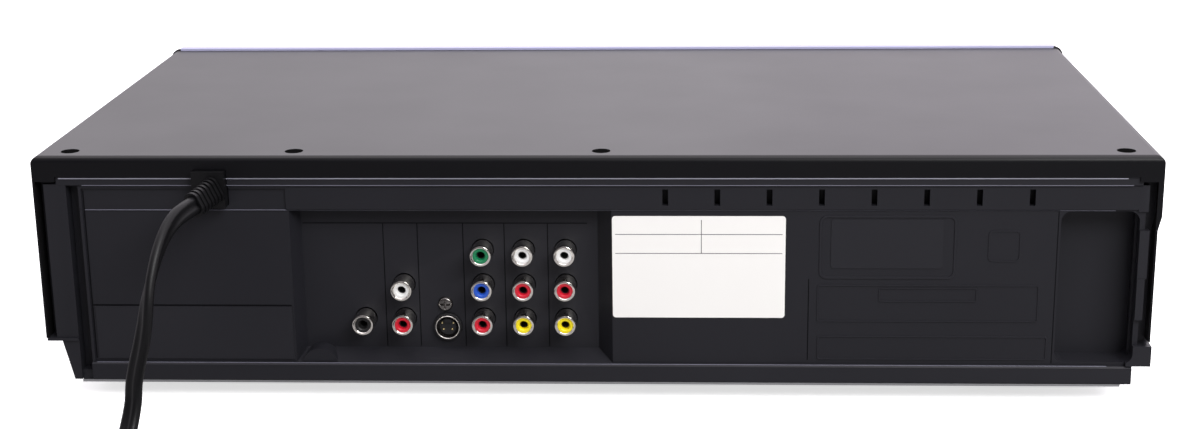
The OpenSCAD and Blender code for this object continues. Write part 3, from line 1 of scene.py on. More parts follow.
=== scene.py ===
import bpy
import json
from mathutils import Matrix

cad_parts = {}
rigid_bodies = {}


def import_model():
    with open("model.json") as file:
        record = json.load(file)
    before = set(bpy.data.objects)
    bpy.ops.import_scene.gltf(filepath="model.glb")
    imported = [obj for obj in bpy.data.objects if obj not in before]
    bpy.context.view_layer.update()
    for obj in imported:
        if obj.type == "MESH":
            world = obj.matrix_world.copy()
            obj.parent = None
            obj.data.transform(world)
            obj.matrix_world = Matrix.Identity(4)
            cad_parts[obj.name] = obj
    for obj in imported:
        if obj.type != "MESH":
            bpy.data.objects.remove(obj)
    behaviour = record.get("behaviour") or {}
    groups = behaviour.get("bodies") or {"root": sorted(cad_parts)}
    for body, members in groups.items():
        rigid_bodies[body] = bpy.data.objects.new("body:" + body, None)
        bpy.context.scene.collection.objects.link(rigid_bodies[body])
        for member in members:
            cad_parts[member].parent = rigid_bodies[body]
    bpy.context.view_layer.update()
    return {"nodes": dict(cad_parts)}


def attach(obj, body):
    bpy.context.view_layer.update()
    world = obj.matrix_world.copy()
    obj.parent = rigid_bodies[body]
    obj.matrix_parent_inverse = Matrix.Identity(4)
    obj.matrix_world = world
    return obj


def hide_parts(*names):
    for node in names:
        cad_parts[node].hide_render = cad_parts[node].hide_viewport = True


bl_info = {
    "name": "Combo Player Looks",
    "blender": (4, 2, 0),
    "version": (1, 0, 0),
    "location": "View3D > Sidebar > Player",
    "description": "Dresses the packed frame of a disc and tape combo player for a studio picture",
    "category": "Object",
}

import json
import math

import bmesh
import bpy
from bpy.props import FloatProperty, FloatVectorProperty, PointerProperty
from mathutils import Vector

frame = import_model()
MM = 0.001

# Points and sizes of pieces are in millimetres, in the frame's own axes: +Y is the rear, the floor is at Z = 0.
# Settings, softboxes and the camera are in metres.
# BACK is the rear face, BASE the case's underside and BAY_FLOOR the floor of the jack bay.
BACK = 115.0
BASE = 7.0
BAY_FLOOR = BACK - 10.0

# X of each column of phono jacks, and the core colours from the bottom row up
JACKS = [
    (10.6, ("yellow", "red", "white")),
    (26.8, ("yellow", "red", "white")),
    (42.9, ("red", "blue", "green")),
    (74.1, ("red", "white")),
    (89.7, ("black",)),
]
JACK_Z = BASE + 24.1
JACK_PITCH = 14.05
JACK_FOOT = BAY_FLOOR - 2.0  # the rear jacks start behind the bay's floor
FRONT_JACKS = [(-196, "yellow"), (-182, "white"), (-168, "red")]
FRONT_JACK_Y = -106.1
FRONT_JACK_Z = BASE + 15.0
FRONT_JACK_DEPTH = 8.4

# Route of the flat cord's middle from the strain relief to the coil
ROUTE = [
    (146.6, 135.4, 85.8), (147.5, 140, 85.6), (148.7, 145.2, 85.4), (150.1, 150.5, 84.6), (151.6, 156, 82.4),
    (153, 161.2, 78.6), (154.3, 166, 73.2), (155.5, 170, 66.5), (156.5, 173, 59.5), (157.5, 174.5, 52),
    (159, 175.5, 44.5), (161, 176, 37), (162.5, 176.5, 30), (163, 177.5, 23.5), (164, 180.5, 16.5),
    (165, 185, 10.5), (166, 191, 6), (167, 198, 3.2), (168, 205.5, 2.2), (169, 214, 2.1), (169.4, 223, 2.1),
    (169.4, 232, 2.1),
]
# (point of the route, degrees by which the flat cord is turned there): on edge below its boot, flat on the floor
TWIST = ((0, 65), (3, 76), (5, 90), (6, 97), (7, 106), (8, 124), (9, 137), (10, 144), (13, 152), (17, 180))
COIL = (122.0, 246.0)
COIL_RADII = (47.4, 40.0, 32.6)
COIL_TURNS = 6.25
COIL_STEPS = 36  # points in a turn
LAY_Z = 2.1  # middle of a cord that lies on the floor
LAYER = 3.95  # rise from the coil's lower layer to its upper one
PATH_STEPS = 3  # steps of the smoothed path between two points of the route
PLUG = (88.0, 293.5, 6.1)

# Depths inward from the rear face: dark lines of painted groove shade on the bay's floor and on the flat panel
BAY_LINE = (9.9, 10.02)
PANEL_LINE = (2.34, 2.42)


# ---------- meshes ----------

def piece(name, verts, faces, body, surface, smooth=35.0, bevel=0.0, slot=None):
    """A mesh object from points in millimetres that rides on a CAD body."""
    mesh = bpy.data.meshes.new(name)
    mesh.from_pydata([tuple(c * MM for c in v) for v in verts], [], faces)
    work = bmesh.new()
    work.from_mesh(mesh)
    bmesh.ops.remove_doubles(work, verts=work.verts, dist=1e-7)
    bmesh.ops.recalc_face_normals(work, faces=work.faces)
    work.to_mesh(mesh)
    work.free()
    mesh.shade_smooth()
    mesh.set_sharp_from_angle(angle=math.radians(smooth))
    obj = bpy.data.objects.new(name, mesh)
    bpy.context.scene.collection.objects.link(obj)
    mesh.materials.append(surface)
    if bevel:
        round_edges(obj, bevel)
    if body:
        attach(obj, body)
    return obj


def round_edges(obj, width):
    """Rounds the edges sharper than 40 degrees by a width in millimetres."""
    mod = obj.modifiers.new("Round", "BEVEL")
    mod.width = width * MM
    mod.segments = 2
    mod.limit_method = "ANGLE"
    mod.angle_limit = math.radians(40.0)
    mod.harden_normals = True


def join_shapes(shapes):
    """One (verts, faces) from several."""
    verts, faces = [], []
    for v, f in shapes:
        start = len(verts)
        verts += v
        faces += [tuple(i + start for i in face) for face in f]
    return verts, faces


def box(x0, x1, y0, y1, z0, z1):
    """A block between two corners."""
    v = [(x, y, z) for x in (x0, x1) for y in (y0, y1) for z in (z0, z1)]
    return v, [(0, 1, 3, 2), (4, 6, 7, 5), (0, 4, 5, 1), (2, 3, 7, 6), (0, 2, 6, 4), (1, 5, 7, 3)]


def rear(x0, x1, z0, z1, d0, d1):
    """A box on the rear panel: z above the case's underside, d inward from the rear face."""
    return box(x0, x1, BACK - d1, BACK - d0, BASE + z0, BASE + z1)


def lathe(profile, centre, count=40):
    """Turns (radius, along) points about an axis through centre that runs along Y."""
    verts, faces = [], []
    n = len(profile)
    for i in range(count):
        a = 2 * math.pi * i / count
        for r, t in profile:
            verts.append((centre[0] + r * math.cos(a), centre[1] + t, centre[2] + r * math.sin(a)))
    for i in range(count):
        j = (i + 1) % count
        for k in range(n - 1):
            faces.append((i * n + k, j * n + k, j * n + k + 1, i * n + k + 1))
    return verts, faces


def corner_outline(x0, x1, z0, z1, r, n=5):
    """(x, z) points round a rectangle with round corners."""
    pts = []
    for cx, cz, start in ((x1 - r, z1 - r, 0), (x0 + r, z1 - r, 90), (x0 + r, z0 + r, 180), (x1 - r, z0 + r, 270)):
        for k in range(n):
            a = math.radians(start + 90 * k / (n - 1))
            pts.append((cx + r * math.cos(a), cz + r * math.sin(a)))
    return pts


def plate(outline, y0, y1):
    """An (x, z) outline given thickness along Y."""
    n = len(outline)
    verts = [(x, y, z) for y in (y0, y1) for x, z in outline]
    faces = [tuple(range(n)), tuple(range(2 * n - 1, n - 1, -1))]
    return verts, faces + [(k, (k + 1) % n, (k + 1) % n + n, k + n) for k in range(n)]


def rear_plate(x0, x1, z0, z1, r, d0, d1):
    """A plate with round corners on the rear panel."""
    return plate(corner_outline(x0, x1, BASE + z0, BASE + z1, r), BACK - d1, BACK - d0)


def skin(n, rings):
    """Faces between rings of n points, each ring with the next."""
    return [(a * n + k, a * n + (k + 1) % n, (a + 1) * n + (k + 1) % n, (a + 1) * n + k)
            for a in range(rings - 1) for k in range(n)]


def rim(x0, x1, z0, z1, r, w, d0, d1):
    """A raised rim of width w round a rectangle on the rear panel, with its edges sloping inward."""
    rings = []
    for inset, d in ((0, d1), (0.15 * w, d0), (0.85 * w, d0), (w, d1)):
        outline = corner_outline(x0 + inset, x1 - inset, BASE + z0 + inset, BASE + z1 - inset, max(0.05, r - inset))
        rings.append([(x, BACK - d, z) for x, z in outline])
    return [p for ring in rings for p in ring], skin(len(rings[0]), len(rings))


def loft(sections):
    """A closed skin over rings of points that have the same count."""
    n = len(sections[0])
    verts = [p for ring in sections for p in ring]
    last = (len(sections) - 1) * n
    ends = [tuple(range(n)), tuple(last + k for k in range(n - 1, -1, -1))]
    return verts, skin(n, len(sections)) + ends


def cross_head(centre, r, high):
    """A domed screw head along +Y with a cross recess, on a square grid drawn into a disc."""
    verts, faces = [], []
    n = 40  # fields along one side of the grid
    for i in range(n + 1):
        for k in range(n + 1):
            u, v = 2 * i / n - 1, 2 * k / n - 1
            x, z = u * math.sqrt(1 - v * v / 2), v * math.sqrt(1 - u * u / 2)
            q = x * x + z * z
            h = high * (1 - 0.35 * q - 0.65 * max(0.0, (q - 0.55) / 0.45) ** 2)
            a, b = sorted((abs(u), abs(v)))
            if a < 0.13 and b < 0.62:
                h -= 0.75 * high * min(1.0, (0.62 - b) / 0.15)
            verts.append((centre[0] + r * x, centre[1] + h - 0.05, centre[2] + r * z))
    for i in range(n):
        for k in range(n):
            a = i * (n + 1) + k
            faces.append((a, a + 1, a + n + 2, a + n + 1))
    return verts, faces


# ---------- materials ----------

def material(name, color, rough, metallic, mottle=0.15, grain=1500.0, bump=0.05, depth=0.02,
             wear_and_highlight=0.0, coat=0.0, alpha=1.0, streak=(1.0, 1.0, 1.0), spec=0.5, vary=0.04):
    """A procedural surface: soft colour and roughness variation, a fine grain bump, and edges made paler by
    pointiness, partly as wear and partly as a painted highlight.

    mottle and vary are the spread of colour and roughness, grain the fineness of the bump and depth its height
    in millimetres, and streak stretches the grain along an axis.
    """
    mat = bpy.data.materials.new(name)
    mat.use_nodes = True
    nt = mat.node_tree
    nodes, links = nt.nodes, nt.links
    nodes.clear()
    out = nodes.new("ShaderNodeOutputMaterial")
    bsdf = nodes.new("ShaderNodeBsdfPrincipled")
    links.new(bsdf.outputs["BSDF"], out.inputs["Surface"])
    coord = nodes.new("ShaderNodeTexCoord")
    mapping = nodes.new("ShaderNodeMapping")
    links.new(coord.outputs["Object"], mapping.inputs["Vector"])
    mapping.inputs["Scale"].default_value = streak

    broad = nodes.new("ShaderNodeTexNoise")
    broad.inputs["Scale"].default_value = 22.0
    broad.inputs["Detail"].default_value = 5.0
    links.new(coord.outputs["Object"], broad.inputs["Vector"])
    fine = nodes.new("ShaderNodeTexNoise")
    fine.inputs["Scale"].default_value = grain
    fine.inputs["Detail"].default_value = 3.0
    links.new(mapping.outputs["Vector"], fine.inputs["Vector"])

    tint = nodes.new("ShaderNodeMix")
    tint.data_type = "RGBA"
    base = tuple(color[:3])
    tint.inputs["A"].default_value = (*[c * (1 - mottle) for c in base], 1)
    tint.inputs["B"].default_value = (*[min(1, c * (1 + mottle)) for c in base], 1)
    links.new(broad.outputs["Fac"], tint.inputs["Factor"])
    color_out = tint.outputs["Result"]
    # edges paler by pointiness: partly wear, partly a painted highlight where edges catch the light
    if wear_and_highlight:
        geo = nodes.new("ShaderNodeNewGeometry")
        edge = nodes.new("ShaderNodeMapRange")
        edge.inputs["From Min"].default_value = 0.52
        edge.inputs["From Max"].default_value = 0.62
        edge.inputs["To Max"].default_value = wear_and_highlight
        links.new(geo.outputs["Pointiness"], edge.inputs["Value"])
        worn_and_lit_edge = nodes.new("ShaderNodeMix")
        worn_and_lit_edge.data_type = "RGBA"
        worn_and_lit_edge.inputs["B"].default_value = (*[min(1, c * 2.5 + 0.03) for c in base], 1)
        links.new(edge.outputs["Result"], worn_and_lit_edge.inputs["Factor"])
        links.new(color_out, worn_and_lit_edge.inputs["A"])
        color_out = worn_and_lit_edge.outputs["Result"]
    links.new(color_out, bsdf.inputs["Base Color"])

    rng = nodes.new("ShaderNodeMapRange")
    rng.inputs["From Min"].default_value = 0.3
    rng.inputs["From Max"].default_value = 0.7
    rng.inputs["To Min"].default_value = max(0.03, rough - vary)
    rng.inputs["To Max"].default_value = min(1.0, rough + vary)
    links.new(broad.outputs["Fac"], rng.inputs["Value"])
    links.new(rng.outputs["Result"], bsdf.inputs["Roughness"])

    if bump:
        lump = nodes.new("ShaderNodeBump")
        lump.inputs["Strength"].default_value = bump
        lump.inputs["Distance"].default_value = depth * MM
        links.new(fine.outputs["Fac"], lump.inputs["Height"])
        links.new(lump.outputs["Normal"], bsdf.inputs["Normal"])
    bsdf.inputs["Metallic"].default_value = metallic
    bsdf.inputs["Specular IOR Level"].default_value = spec
    bsdf.inputs["Coat Weight"].default_value = coat
    bsdf.inputs["Coat Roughness"].default_value = 0.12
    bsdf.inputs["Alpha"].default_value = alpha
    return mat


# name: (colour, roughness, metallic, the rest of material()); None takes the colour from the finish settings
PALETTE = {
    "lid": (None, 0.34, 0.0, dict(mottle=0.015, vary=0.012, grain=2600, bump=0.22, depth=0.02, spec=0.36)),
    "rear_plastic": (None, 0.46, 0.0, dict(mottle=0.1, grain=2200, bump=0.22, depth=0.03, wear_and_highlight=0.06, spec=0.25)),
    # painted shade: near-black strips that stand for the shadow in the panel's parting grooves
    "seam": ((0.003, 0.003, 0.004), 0.6, 0.0, dict(mottle=0.1, bump=0.05, spec=0.1)),
    "chassis": ((0.010, 0.010, 0.013), 0.48, 0.0,
                dict(mottle=0.1, grain=2200, bump=0.22, depth=0.03, wear_and_highlight=0.06, spec=0.25)),
    "zinc": ((0.55, 0.56, 0.57), 0.32, 1.0, dict(grain=900, bump=0.08, streak=(1, 12, 1))),
    "front": (None, 0.14, 0.0, dict(mottle=0.05, vary=0.02, bump=0.02, coat=0.6)),
    # silver paint, with a painted bluish reflection in its colour
    "silver": (None, 0.4, 0.0, dict(mottle=0.04, bump=0.05, grain=2600, spec=0.3)),
    "window": ((0.008, 0.008, 0.012), 0.06, 0.0, dict(vary=0.01, bump=0.0, coat=1.0, alpha=0.9)),
    "key": ((0.06, 0.06, 0.066), 0.3, 0.0, dict(coat=0.3, wear_and_highlight=0.2)),
    "print": ((0.55, 0.55, 0.56), 0.5, 0.0, dict(mottle=0.03, bump=0.0)),
    "tray": ((0.03, 0.03, 0.033), 0.42, 0.0, dict(grain=1800, bump=0.2, depth=0.03)),
    "gear": ((0.72, 0.66, 0.5), 0.4, 0.0, dict(bump=0.05)),
    "motor": ((0.6, 0.6, 0.62), 0.25, 1.0, dict(streak=(1, 1, 14), grain=700, bump=0.06)),
    "bright": ((0.78, 0.77, 0.75), 0.14, 1.0, dict(bump=0.03)),
    "rubber": ((0.018, 0.018, 0.018), 0.6, 0.0, dict(grain=1400, bump=0.25, depth=0.05)),
    "drum": ((0.76, 0.77, 0.79), 0.16, 1.0, dict(streak=(1, 1, 30), grain=900, bump=0.05)),
    "reel": ((0.8, 0.8, 0.77), 0.4, 0.0, dict(bump=0.05)),
    "brass": ((0.75, 0.62, 0.33), 0.25, 1.0, dict(bump=0.04)),
    "board": ((0.02, 0.11, 0.05), 0.35, 0.0, dict(grain=500, bump=0.1, coat=0.3)),
    "paper_board": ((0.30, 0.19, 0.08), 0.5, 0.0, dict(grain=500, bump=0.15)),
    "chip": ((0.012, 0.012, 0.013), 0.4, 0.0, dict(bump=0.1)),
    "sleeve": ((0.02, 0.03, 0.07), 0.3, 0.0, dict(bump=0.05)),
    "tape": ((0.6, 0.42, 0.05), 0.35, 0.0, dict(bump=0.1)),
    "cast": ((0.45, 0.45, 0.46), 0.4, 1.0, dict(grain=1200, bump=0.1)),
    "block": ((0.012, 0.012, 0.013), 0.45, 0.0, dict(bump=0.1, spec=0.3)),
    "screw": ((0.004, 0.004, 0.004), 0.7, 0.0, dict(bump=0.1, spec=0.0)),
    # painted shade: a darker, less glossy copy of the cover's paint for its faces toward the rear
    "lid_fold": ((0.0035, 0.0035, 0.0045), 0.4, 0.0,
                 dict(mottle=0.02, grain=2600, bump=0.2, depth=0.02, spec=0.16)),
    # silver paint, with a painted bluish reflection in its colour
    "trim_lip": ((0.50, 0.50, 0.70), 0.4, 0.0, dict(mottle=0.04, bump=0.05)),
    # painted highlight: a pale strip for the light caught along the shoulder under the cover's flange
    "edge": ((0.42, 0.42, 0.50), 0.3, 0.0, dict(mottle=0.5, bump=0.05)),
    # painted highlight: paler strips for the light on the band's and kerb's edges
    "soft_edge": ((0.13, 0.13, 0.165), 0.4, 0.0, dict(mottle=0.4, bump=0.05)),
    "vinyl": (None, 0.38, 0.0, dict(mottle=0.1, grain=700, bump=0.1, depth=0.04, spec=0.22)),
    "nickel": ((0.83, 0.80, 0.74), 0.14, 1.0, dict(mottle=0.05, bump=0.02)),
    "dark_steel": ((0.22, 0.21, 0.2), 0.25, 1.0, dict(mottle=0.2, bump=0.05)),
    "white": ((0.82, 0.82, 0.8), 0.3, 0.0, dict(mottle=0.03, bump=0.03)),
    "red": ((0.6, 0.012, 0.03), 0.3, 0.0, dict(mottle=0.05, bump=0.03)),
    "yellow": ((0.9, 0.74, 0.01), 0.3, 0.0, dict(mottle=0.05, bump=0.03)),
    "blue": ((0.02, 0.09, 0.5), 0.3, 0.0, dict(mottle=0.05, bump=0.03)),
    "green": ((0.01, 0.2, 0.08), 0.3, 0.0, dict(mottle=0.05, bump=0.03)),
    "black": ((0.010, 0.010, 0.010), 0.4, 0.0, dict(bump=0.05)),
    "paper": (None, 0.4, 0.0, dict(mottle=0.01, bump=0.03, coat=0.2)),
    "ink": ((0.05, 0.05, 0.055), 0.5, 0.0, dict(bump=0.0)),
}


def look(key):
    """The palette's material, made once; the frame's own materials have other names."""
    name = "look_" + key
    if name in bpy.data.materials:
        return bpy.data.materials[name]
    color, rough, metallic, more = PALETTE[key]
    color = getattr(bpy.context.scene.player_finish, key, color)
    return material(name, color, rough, metallic, **more)


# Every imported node, also those that a piece replaces: (palette entry, edge rounding in millimetres)
DRESS = {
    "top_cover": ("lid", 0.35), "rear_panel": ("rear_plastic", 0.22), "chassis": ("chassis", 0.3),
    "bottom_plate": ("zinc", 0.0), "front_panel": ("front", 0.3), "front_trim": ("silver", 0.3),
    "display_window": ("window", 0.2), "cassette_door": ("front", 0.3), "door_spring": ("bright", 0),
    "tray_front": ("front", 0.3), "disc_tray": ("tray", 0.25), "power_button": ("key", 0.3),
    "tray_button": ("key", 0.3), "eject_button": ("key", 0.3), "rewind_button": ("key", 0.3),
    "play_button": ("key", 0.3), "forward_button": ("key", 0.3), "stop_button": ("key", 0.3),
    "record_button": ("key", 0.3), "loader_frame": ("tray", 0.0), "loader_gear": ("gear", 0),
    "loader_motor": ("motor", 0.4), "motor_pulley": ("gear", 0), "loader_belt": ("rubber", 0),
    "traverse_plate": ("zinc", 0), "spindle_motor": ("motor", 0.3), "turntable": ("tray", 0.2),
    "pickup": ("block", 0.2), "guide_rods": ("bright", 0), "feed_gear": ("gear", 0),
    "clamp_bridge": ("zinc", 0), "clamp_puck": ("tray", 0.2), "deck_plate": ("zinc", 0),
    "holder_slider": ("zinc", 0), "cassette_holder": ("zinc", 0), "drum_base": ("drum", 0.2),
    "head_drum": ("drum", 0.2), "capstan": ("motor", 0.2), "pinch_arm": ("zinc", 0),
    "pinch_roller": ("rubber", 0.2), "supply_reel": ("reel", 0.2), "takeup_reel": ("reel", 0.2),
    "left_guide": ("brass", 0.1), "right_guide": ("brass", 0.1), "cam_gear": ("gear", 0),
    "loading_motor": ("motor", 0.4), "loading_pinion": ("gear", 0), "main_board": ("board", 0),
    "power_board": ("paper_board", 0), "jack_board": ("block", 0.3), "key_board": ("board", 0),
    "feet": ("rubber", 0.4), "cord_coil": ("vinyl", 0), "svideo_jack": ("block", 0.1),
    "jack_shells": ("nickel", 0.1), "jack_inserts": ("white", 0.1), "cover_screws": ("screw", 0.1),
    "strain_relief": ("vinyl", 0.3), "power_cord": ("vinyl", 0), "power_plug": ("vinyl", 0.8),
}


def paint_parts(obj, level, kinds):
    """Gives each part that stands above a board's level its own material, chosen by the part's shape."""
    mesh = obj.data
    places = [tuple(round(c * 1e6) for c in v.co) for v in mesh.vertices]
    above = [f for f in mesh.polygons if f.center.z > level]
    users = {}
    for f in above:
        for v in f.vertices:
            users.setdefault(places[v], []).append(f)
    done, slots = set(), {}
    for first in above:
        if first.index in done:
            continue
        done.add(first.index)
        group, todo = [first], [first]
        while todo:
            for v in todo.pop().vertices:
                for other in users[places[v]]:
                    if other.index not in done:
                        done.add(other.index)
                        group.append(other)
                        todo.append(other)
        pts = [mesh.vertices[v].co for f in group for v in f.vertices]
        size = [(max(p[i] for p in pts) - min(p[i] for p in pts)) / MM for i in range(3)]
        crest = max(p.z for p in pts) - 1e-5
        side, top = kinds(size, len(group))
        for f in group:
            use = top if f.normal.z > 0.9 and f.center.z > crest else side
            if use not in slots:
                slots[use] = len(mesh.materials)
                mesh.materials.append(look(use))
            f.material_index = slots[use]


def board_kind(size, faces):
    """(sides, top) of a part on a board from its width, depth, height and number of faces."""
    w, d, h = size
    if abs(w - d) < 0.3 and faces > 40:
        return ("sleeve", "zinc") if h > 8 else ("chip", "zinc")
    if w > 30 and d > 25 and h > 20:
        return "tape", "cast"
    if h > 20:
        return "cast", "cast"
    if h > 4:
        return "white", "white"
    return "chip", "chip"


# ---------- cord ----------

def cord_path():
    """Points and side directions of the whole cord: the route, the coil's turns in two layers, the way to the plug."""
    pts = [Vector(p) for p in ROUTE]
    side = [Vector((1, 0, 0))] * len(pts)
    radii = [*COIL_RADII, *reversed(COIL_RADII)]
    for k in range(1, int(COIL_STEPS * COIL_TURNS) + 1):
        turn = k / COIL_STEPS
        i = min(int(turn), 5)
        # near the end of a turn the cord moves over to the next radius, and in the third also up to the next layer
        f = min(1.0, max(0.0, (turn - i - 0.78) / 0.22)) if turn < 6 else 0.0
        f = f * f * (3 - 2 * f)
        r = radii[i] * (1 - f) + radii[min(i + 1, 5)] * f
        z = LAY_Z + LAYER * (0 if i < 2 else f if i == 2 else 1)
        a = 2 * math.pi * turn
        uneven = 0 if turn > 5.9 else 0.5 * math.sin(3 * a + i)
        out = Vector((math.cos(a), math.sin(a), 0))
        pts.append(Vector((COIL[0], COIL[1], 0)) + out * (r + uneven) + Vector((0, 0, z)))
        side.append(out)
    last = pts[-1]
    for t in (0.35, 0.7, 1.0):
        pts.append(last.lerp(Vector((PLUG[0] - 3, PLUG[1], PLUG[2])), t))
        side.append(Vector((0, 1, 0)))
    return pts, side


def smooth_path(pts, side):
    """Catmull-Rom points between the given ones."""
    out, sides = [], []
    n = len(pts)
    for i in range(n - 1):
        a, b, c, d = pts[max(i - 1, 0)], pts[i], pts[i + 1], pts[min(i + 2, n - 1)]
        for k in range(PATH_STEPS):
            t = k / PATH_STEPS
            out.append(0.5 * ((2 * b) + (c - a) * t + (2 * a - 5 * b + 4 * c - d) * t * t
                              + (3 * b - a - 3 * c + d) * t * t * t))
            sides.append(side[i].lerp(side[i + 1], t))
    out.append(pts[-1])
    sides.append(side[-1])
    return out, sides


def cord_section(width, height):
    """Two round cores side by side with a shallow groove between them."""
    r = height / 2
    pts = []
    for way, start in ((1, -110), (-1, 70)):
        for a in range(start, start + 221, 20):
            angle = math.radians(a)
            pts.append((way * (width / 2 - r) + r * math.cos(angle), r * math.sin(angle)))
        pts.append((0, way * r * 0.72))
    return pts


def cord_twist(i):
    """Degrees by which the cord is turned at point i of the smoothed path."""
    at = i / PATH_STEPS
    for (a, low), (b, high) in zip(TWIST, TWIST[1:]):
        if at <= b:
            return -(low + (high - low) * (at - a) / (b - a))
    return -TWIST[-1][1]


def sweep(pts, sides, section, twist):
    """A section carried along the path, with its own X towards the sides and turned by twist(i) degrees."""
    verts, faces = [], []
    n, m = len(pts), len(section)
    for i, p in enumerate(pts):
        t = (pts[min(i + 1, n - 1)] - pts[max(i - 1, 0)]).normalized()
        u = sides[i] - t * sides[i].dot(t)
        u.normalize()
        v = t.cross(u)
        a = math.radians(twist(i))
        c, s = math.cos(a), math.sin(a)
        for q in section:
            verts.append(p + (q[0] * c - q[1] * s) * u + (q[0] * s + q[1] * c) * v)
    for i in range(n - 1):
        for k in range(m):
            j = (k + 1) % m
            faces.append((i * m + k, (i + 1) * m + k, (i + 1) * m + j, i * m + j))
    faces.append(tuple(range(m)))
    faces.append(tuple((n - 1) * m + k for k in range(m - 1, -1, -1)))
    return verts, faces


def plug_shapes():
    """The moulded plug with its ribbed neck, and its two flat blades."""
    x, y, z = PLUG
    steps = [(0, 8.6, 5.6), (-0.4, 9.4, 6.4), (-1.6, 9.6, 6.6)]
    for k in range(4):
        a = -1.8 - 2.3 * k
        w = 9.8 + 0.5 * k
        steps += [(a, w - 1.6, 5.4 + 0.4 * k), (a - 0.8, w - 1.6, 5.4 + 0.4 * k), (a - 1.0, w, 6.8 + 0.4 * k),
                  (a - 2.1, w + 0.2, 7.0 + 0.4 * k)]
    steps += [(-11.4, 12.6, 9.0), (-12.6, 14.2, 10.2), (-14.5, 17.6, 11.4), (-16.5, 19.4, 11.9), (-18.5, 19.9, 12),
              (-24.8, 19.9, 12), (-25.6, 19.5, 11.7), (-26, 18.6, 10.9)]
    rings = []
    for dx, w, h in steps:
        r = min(w, h) * (0.46 if dx > -13 else 0.3)
        rings.append([(x + dx, u, v) for u, v in corner_outline(y - w / 2, y + w / 2, z - h / 2, z + h / 2, r, 8)])
    blades = [box(x - 42, x - 25.5, mid - 0.75, mid + 0.75, z - 3.15, z + 3.15) for mid in (y - 6.35, y + 6.35)]
    return loft(rings), join_shapes(blades)


# ---------- settings ----------

class PlayerCameraSettings(bpy.types.PropertyGroup):
    place: FloatVectorProperty(
        name="Camera place", description="Where the camera stands", default=(-0.03806, 0.81974, 0.27506),
        subtype="XYZ", unit="LENGTH")
    turn: FloatVectorProperty(
        name="Camera turn", description="The camera's rotation in degrees", default=(74.264, 0.685, -177.385))
    lens: FloatProperty(name="Lens", description="Focal length in millimetres", default=57.75, min=10)


class PlayerLightSettings(bpy.types.PropertyGroup):
    sky: FloatProperty(name="Sky", description="Strength of the light all round the set", default=1.0, min=0)
    top: FloatProperty(name="Top softbox", description="Watts of the box overhead", default=4.0, min=0)
    fill: FloatProperty(name="Fill", description="Watts of the box above and beside the camera", default=24.0, min=0)
    front: FloatProperty(name="Front box", description="Watts of the box before the front panel", default=2.0, min=0)
    glow: FloatProperty(name="Floor glow", description="Added to the floor for the camera alone", default=0.66, min=0)


def finish_colour(name, about, value):
    """A colour setting."""
    return FloatVectorProperty(name=name, description=about, default=value, subtype="COLOR", min=0, max=1)


class PlayerFinishSettings(bpy.types.PropertyGroup):
    lid: finish_colour("Cover", "Paint of the steel cover", (0.007, 0.0065, 0.007))
    rear_plastic: finish_colour("Rear panel", "Moulded rear panel", (0.013, 0.013, 0.0165))
    front: finish_colour("Front panel", "Gloss front panel and doors", (0.012, 0.012, 0.014))
    # silver paint, with a painted bluish reflection in its colour
    silver: finish_colour("Trim", "Silver trim of the front panel", (0.42, 0.42, 0.60))
    vinyl: finish_colour("Cord", "Vinyl of the cord and plug", (0.004, 0.004, 0.0045))
    paper: finish_colour("Label", "Blank rating label", (0.93, 0.92, 0.88))


class PlayerSizeSettings(bpy.types.PropertyGroup):
    cord_width: FloatProperty(name="Cord width", description="Across both cores", default=0.0072, unit="LENGTH")
    cord_thick: FloatProperty(name="Cord thickness", description="Across one core", default=0.0037, unit="LENGTH")
    label_width: FloatProperty(name="Label width", description="Width of the label", default=0.0663, unit="LENGTH")
    label_height: FloatProperty(name="Label height", description="Height of the label", default=0.0408, unit="LENGTH")


# ---------- operators ----------

class PLAYER_OT_dress_frame(bpy.types.Operator):
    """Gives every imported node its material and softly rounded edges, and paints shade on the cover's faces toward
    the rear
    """
    bl_idname = "player.dress_frame"
    bl_label = "Dress the frame"

    def execute(self, context):
        missing = sorted(set(frame["nodes"]) ^ set(DRESS))
        if missing:
            raise RuntimeError("dress table and frame differ: " + ", ".join(missing))
        for name, (key, width) in DRESS.items():
            obj = frame["nodes"][name]
            obj.data.materials.clear()
            obj.data.materials.append(look(key))
            obj.data.shade_smooth()
            obj.data.set_sharp_from_angle(angle=math.radians(32))
            if width:
                round_edges(obj, width)
        # painted shade: the cover's faces toward the rear get a darker, less glossy copy of its paint than its top
        facing_rear = 0.7
        lid = frame["nodes"]["top_cover"].data
        lid.materials.append(look("lid_fold"))
        for face in lid.polygons:
            if face.normal.y > facing_rear:
                face.material_index = 1
        # what lies higher than this over a board's underside is a part on it
        board_thick = 1.75
        for name in ("main_board", "power_board"):
            obj = frame["nodes"][name]
            low = min(v.co.z for v in obj.data.vertices)
            paint_parts(obj, low + board_thick * MM, board_kind)
        return {"FINISHED"}


class PLAYER_OT_cord(bpy.types.Operator):
    """Sweeps the flat two-core cord along its route, round its coil and into the plug"""
    bl_idname = "player.cord"
    bl_label = "Cord"

    def execute(self, context):
        size = context.scene.player_size
        pts, sides = cord_path()
        pts, sides = smooth_path(pts, sides)
        verts, faces = sweep(pts, sides, cord_section(size.cord_width / MM, size.cord_thick / MM), cord_twist)
        cord = piece("mains_cord", verts, faces, "case", look("vinyl"), smooth=60, slot="cord_vinyl")
        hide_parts("power_cord", "cord_coil")
        body, blades = plug_shapes()
        plug = piece("plug_body", *body, "case", look("vinyl"), smooth=40, slot="cord_vinyl")
        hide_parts("power_plug")
        pins = piece("plug_blades", *blades, "case", look("nickel"), bevel=0.35)
        return {"FINISHED"}


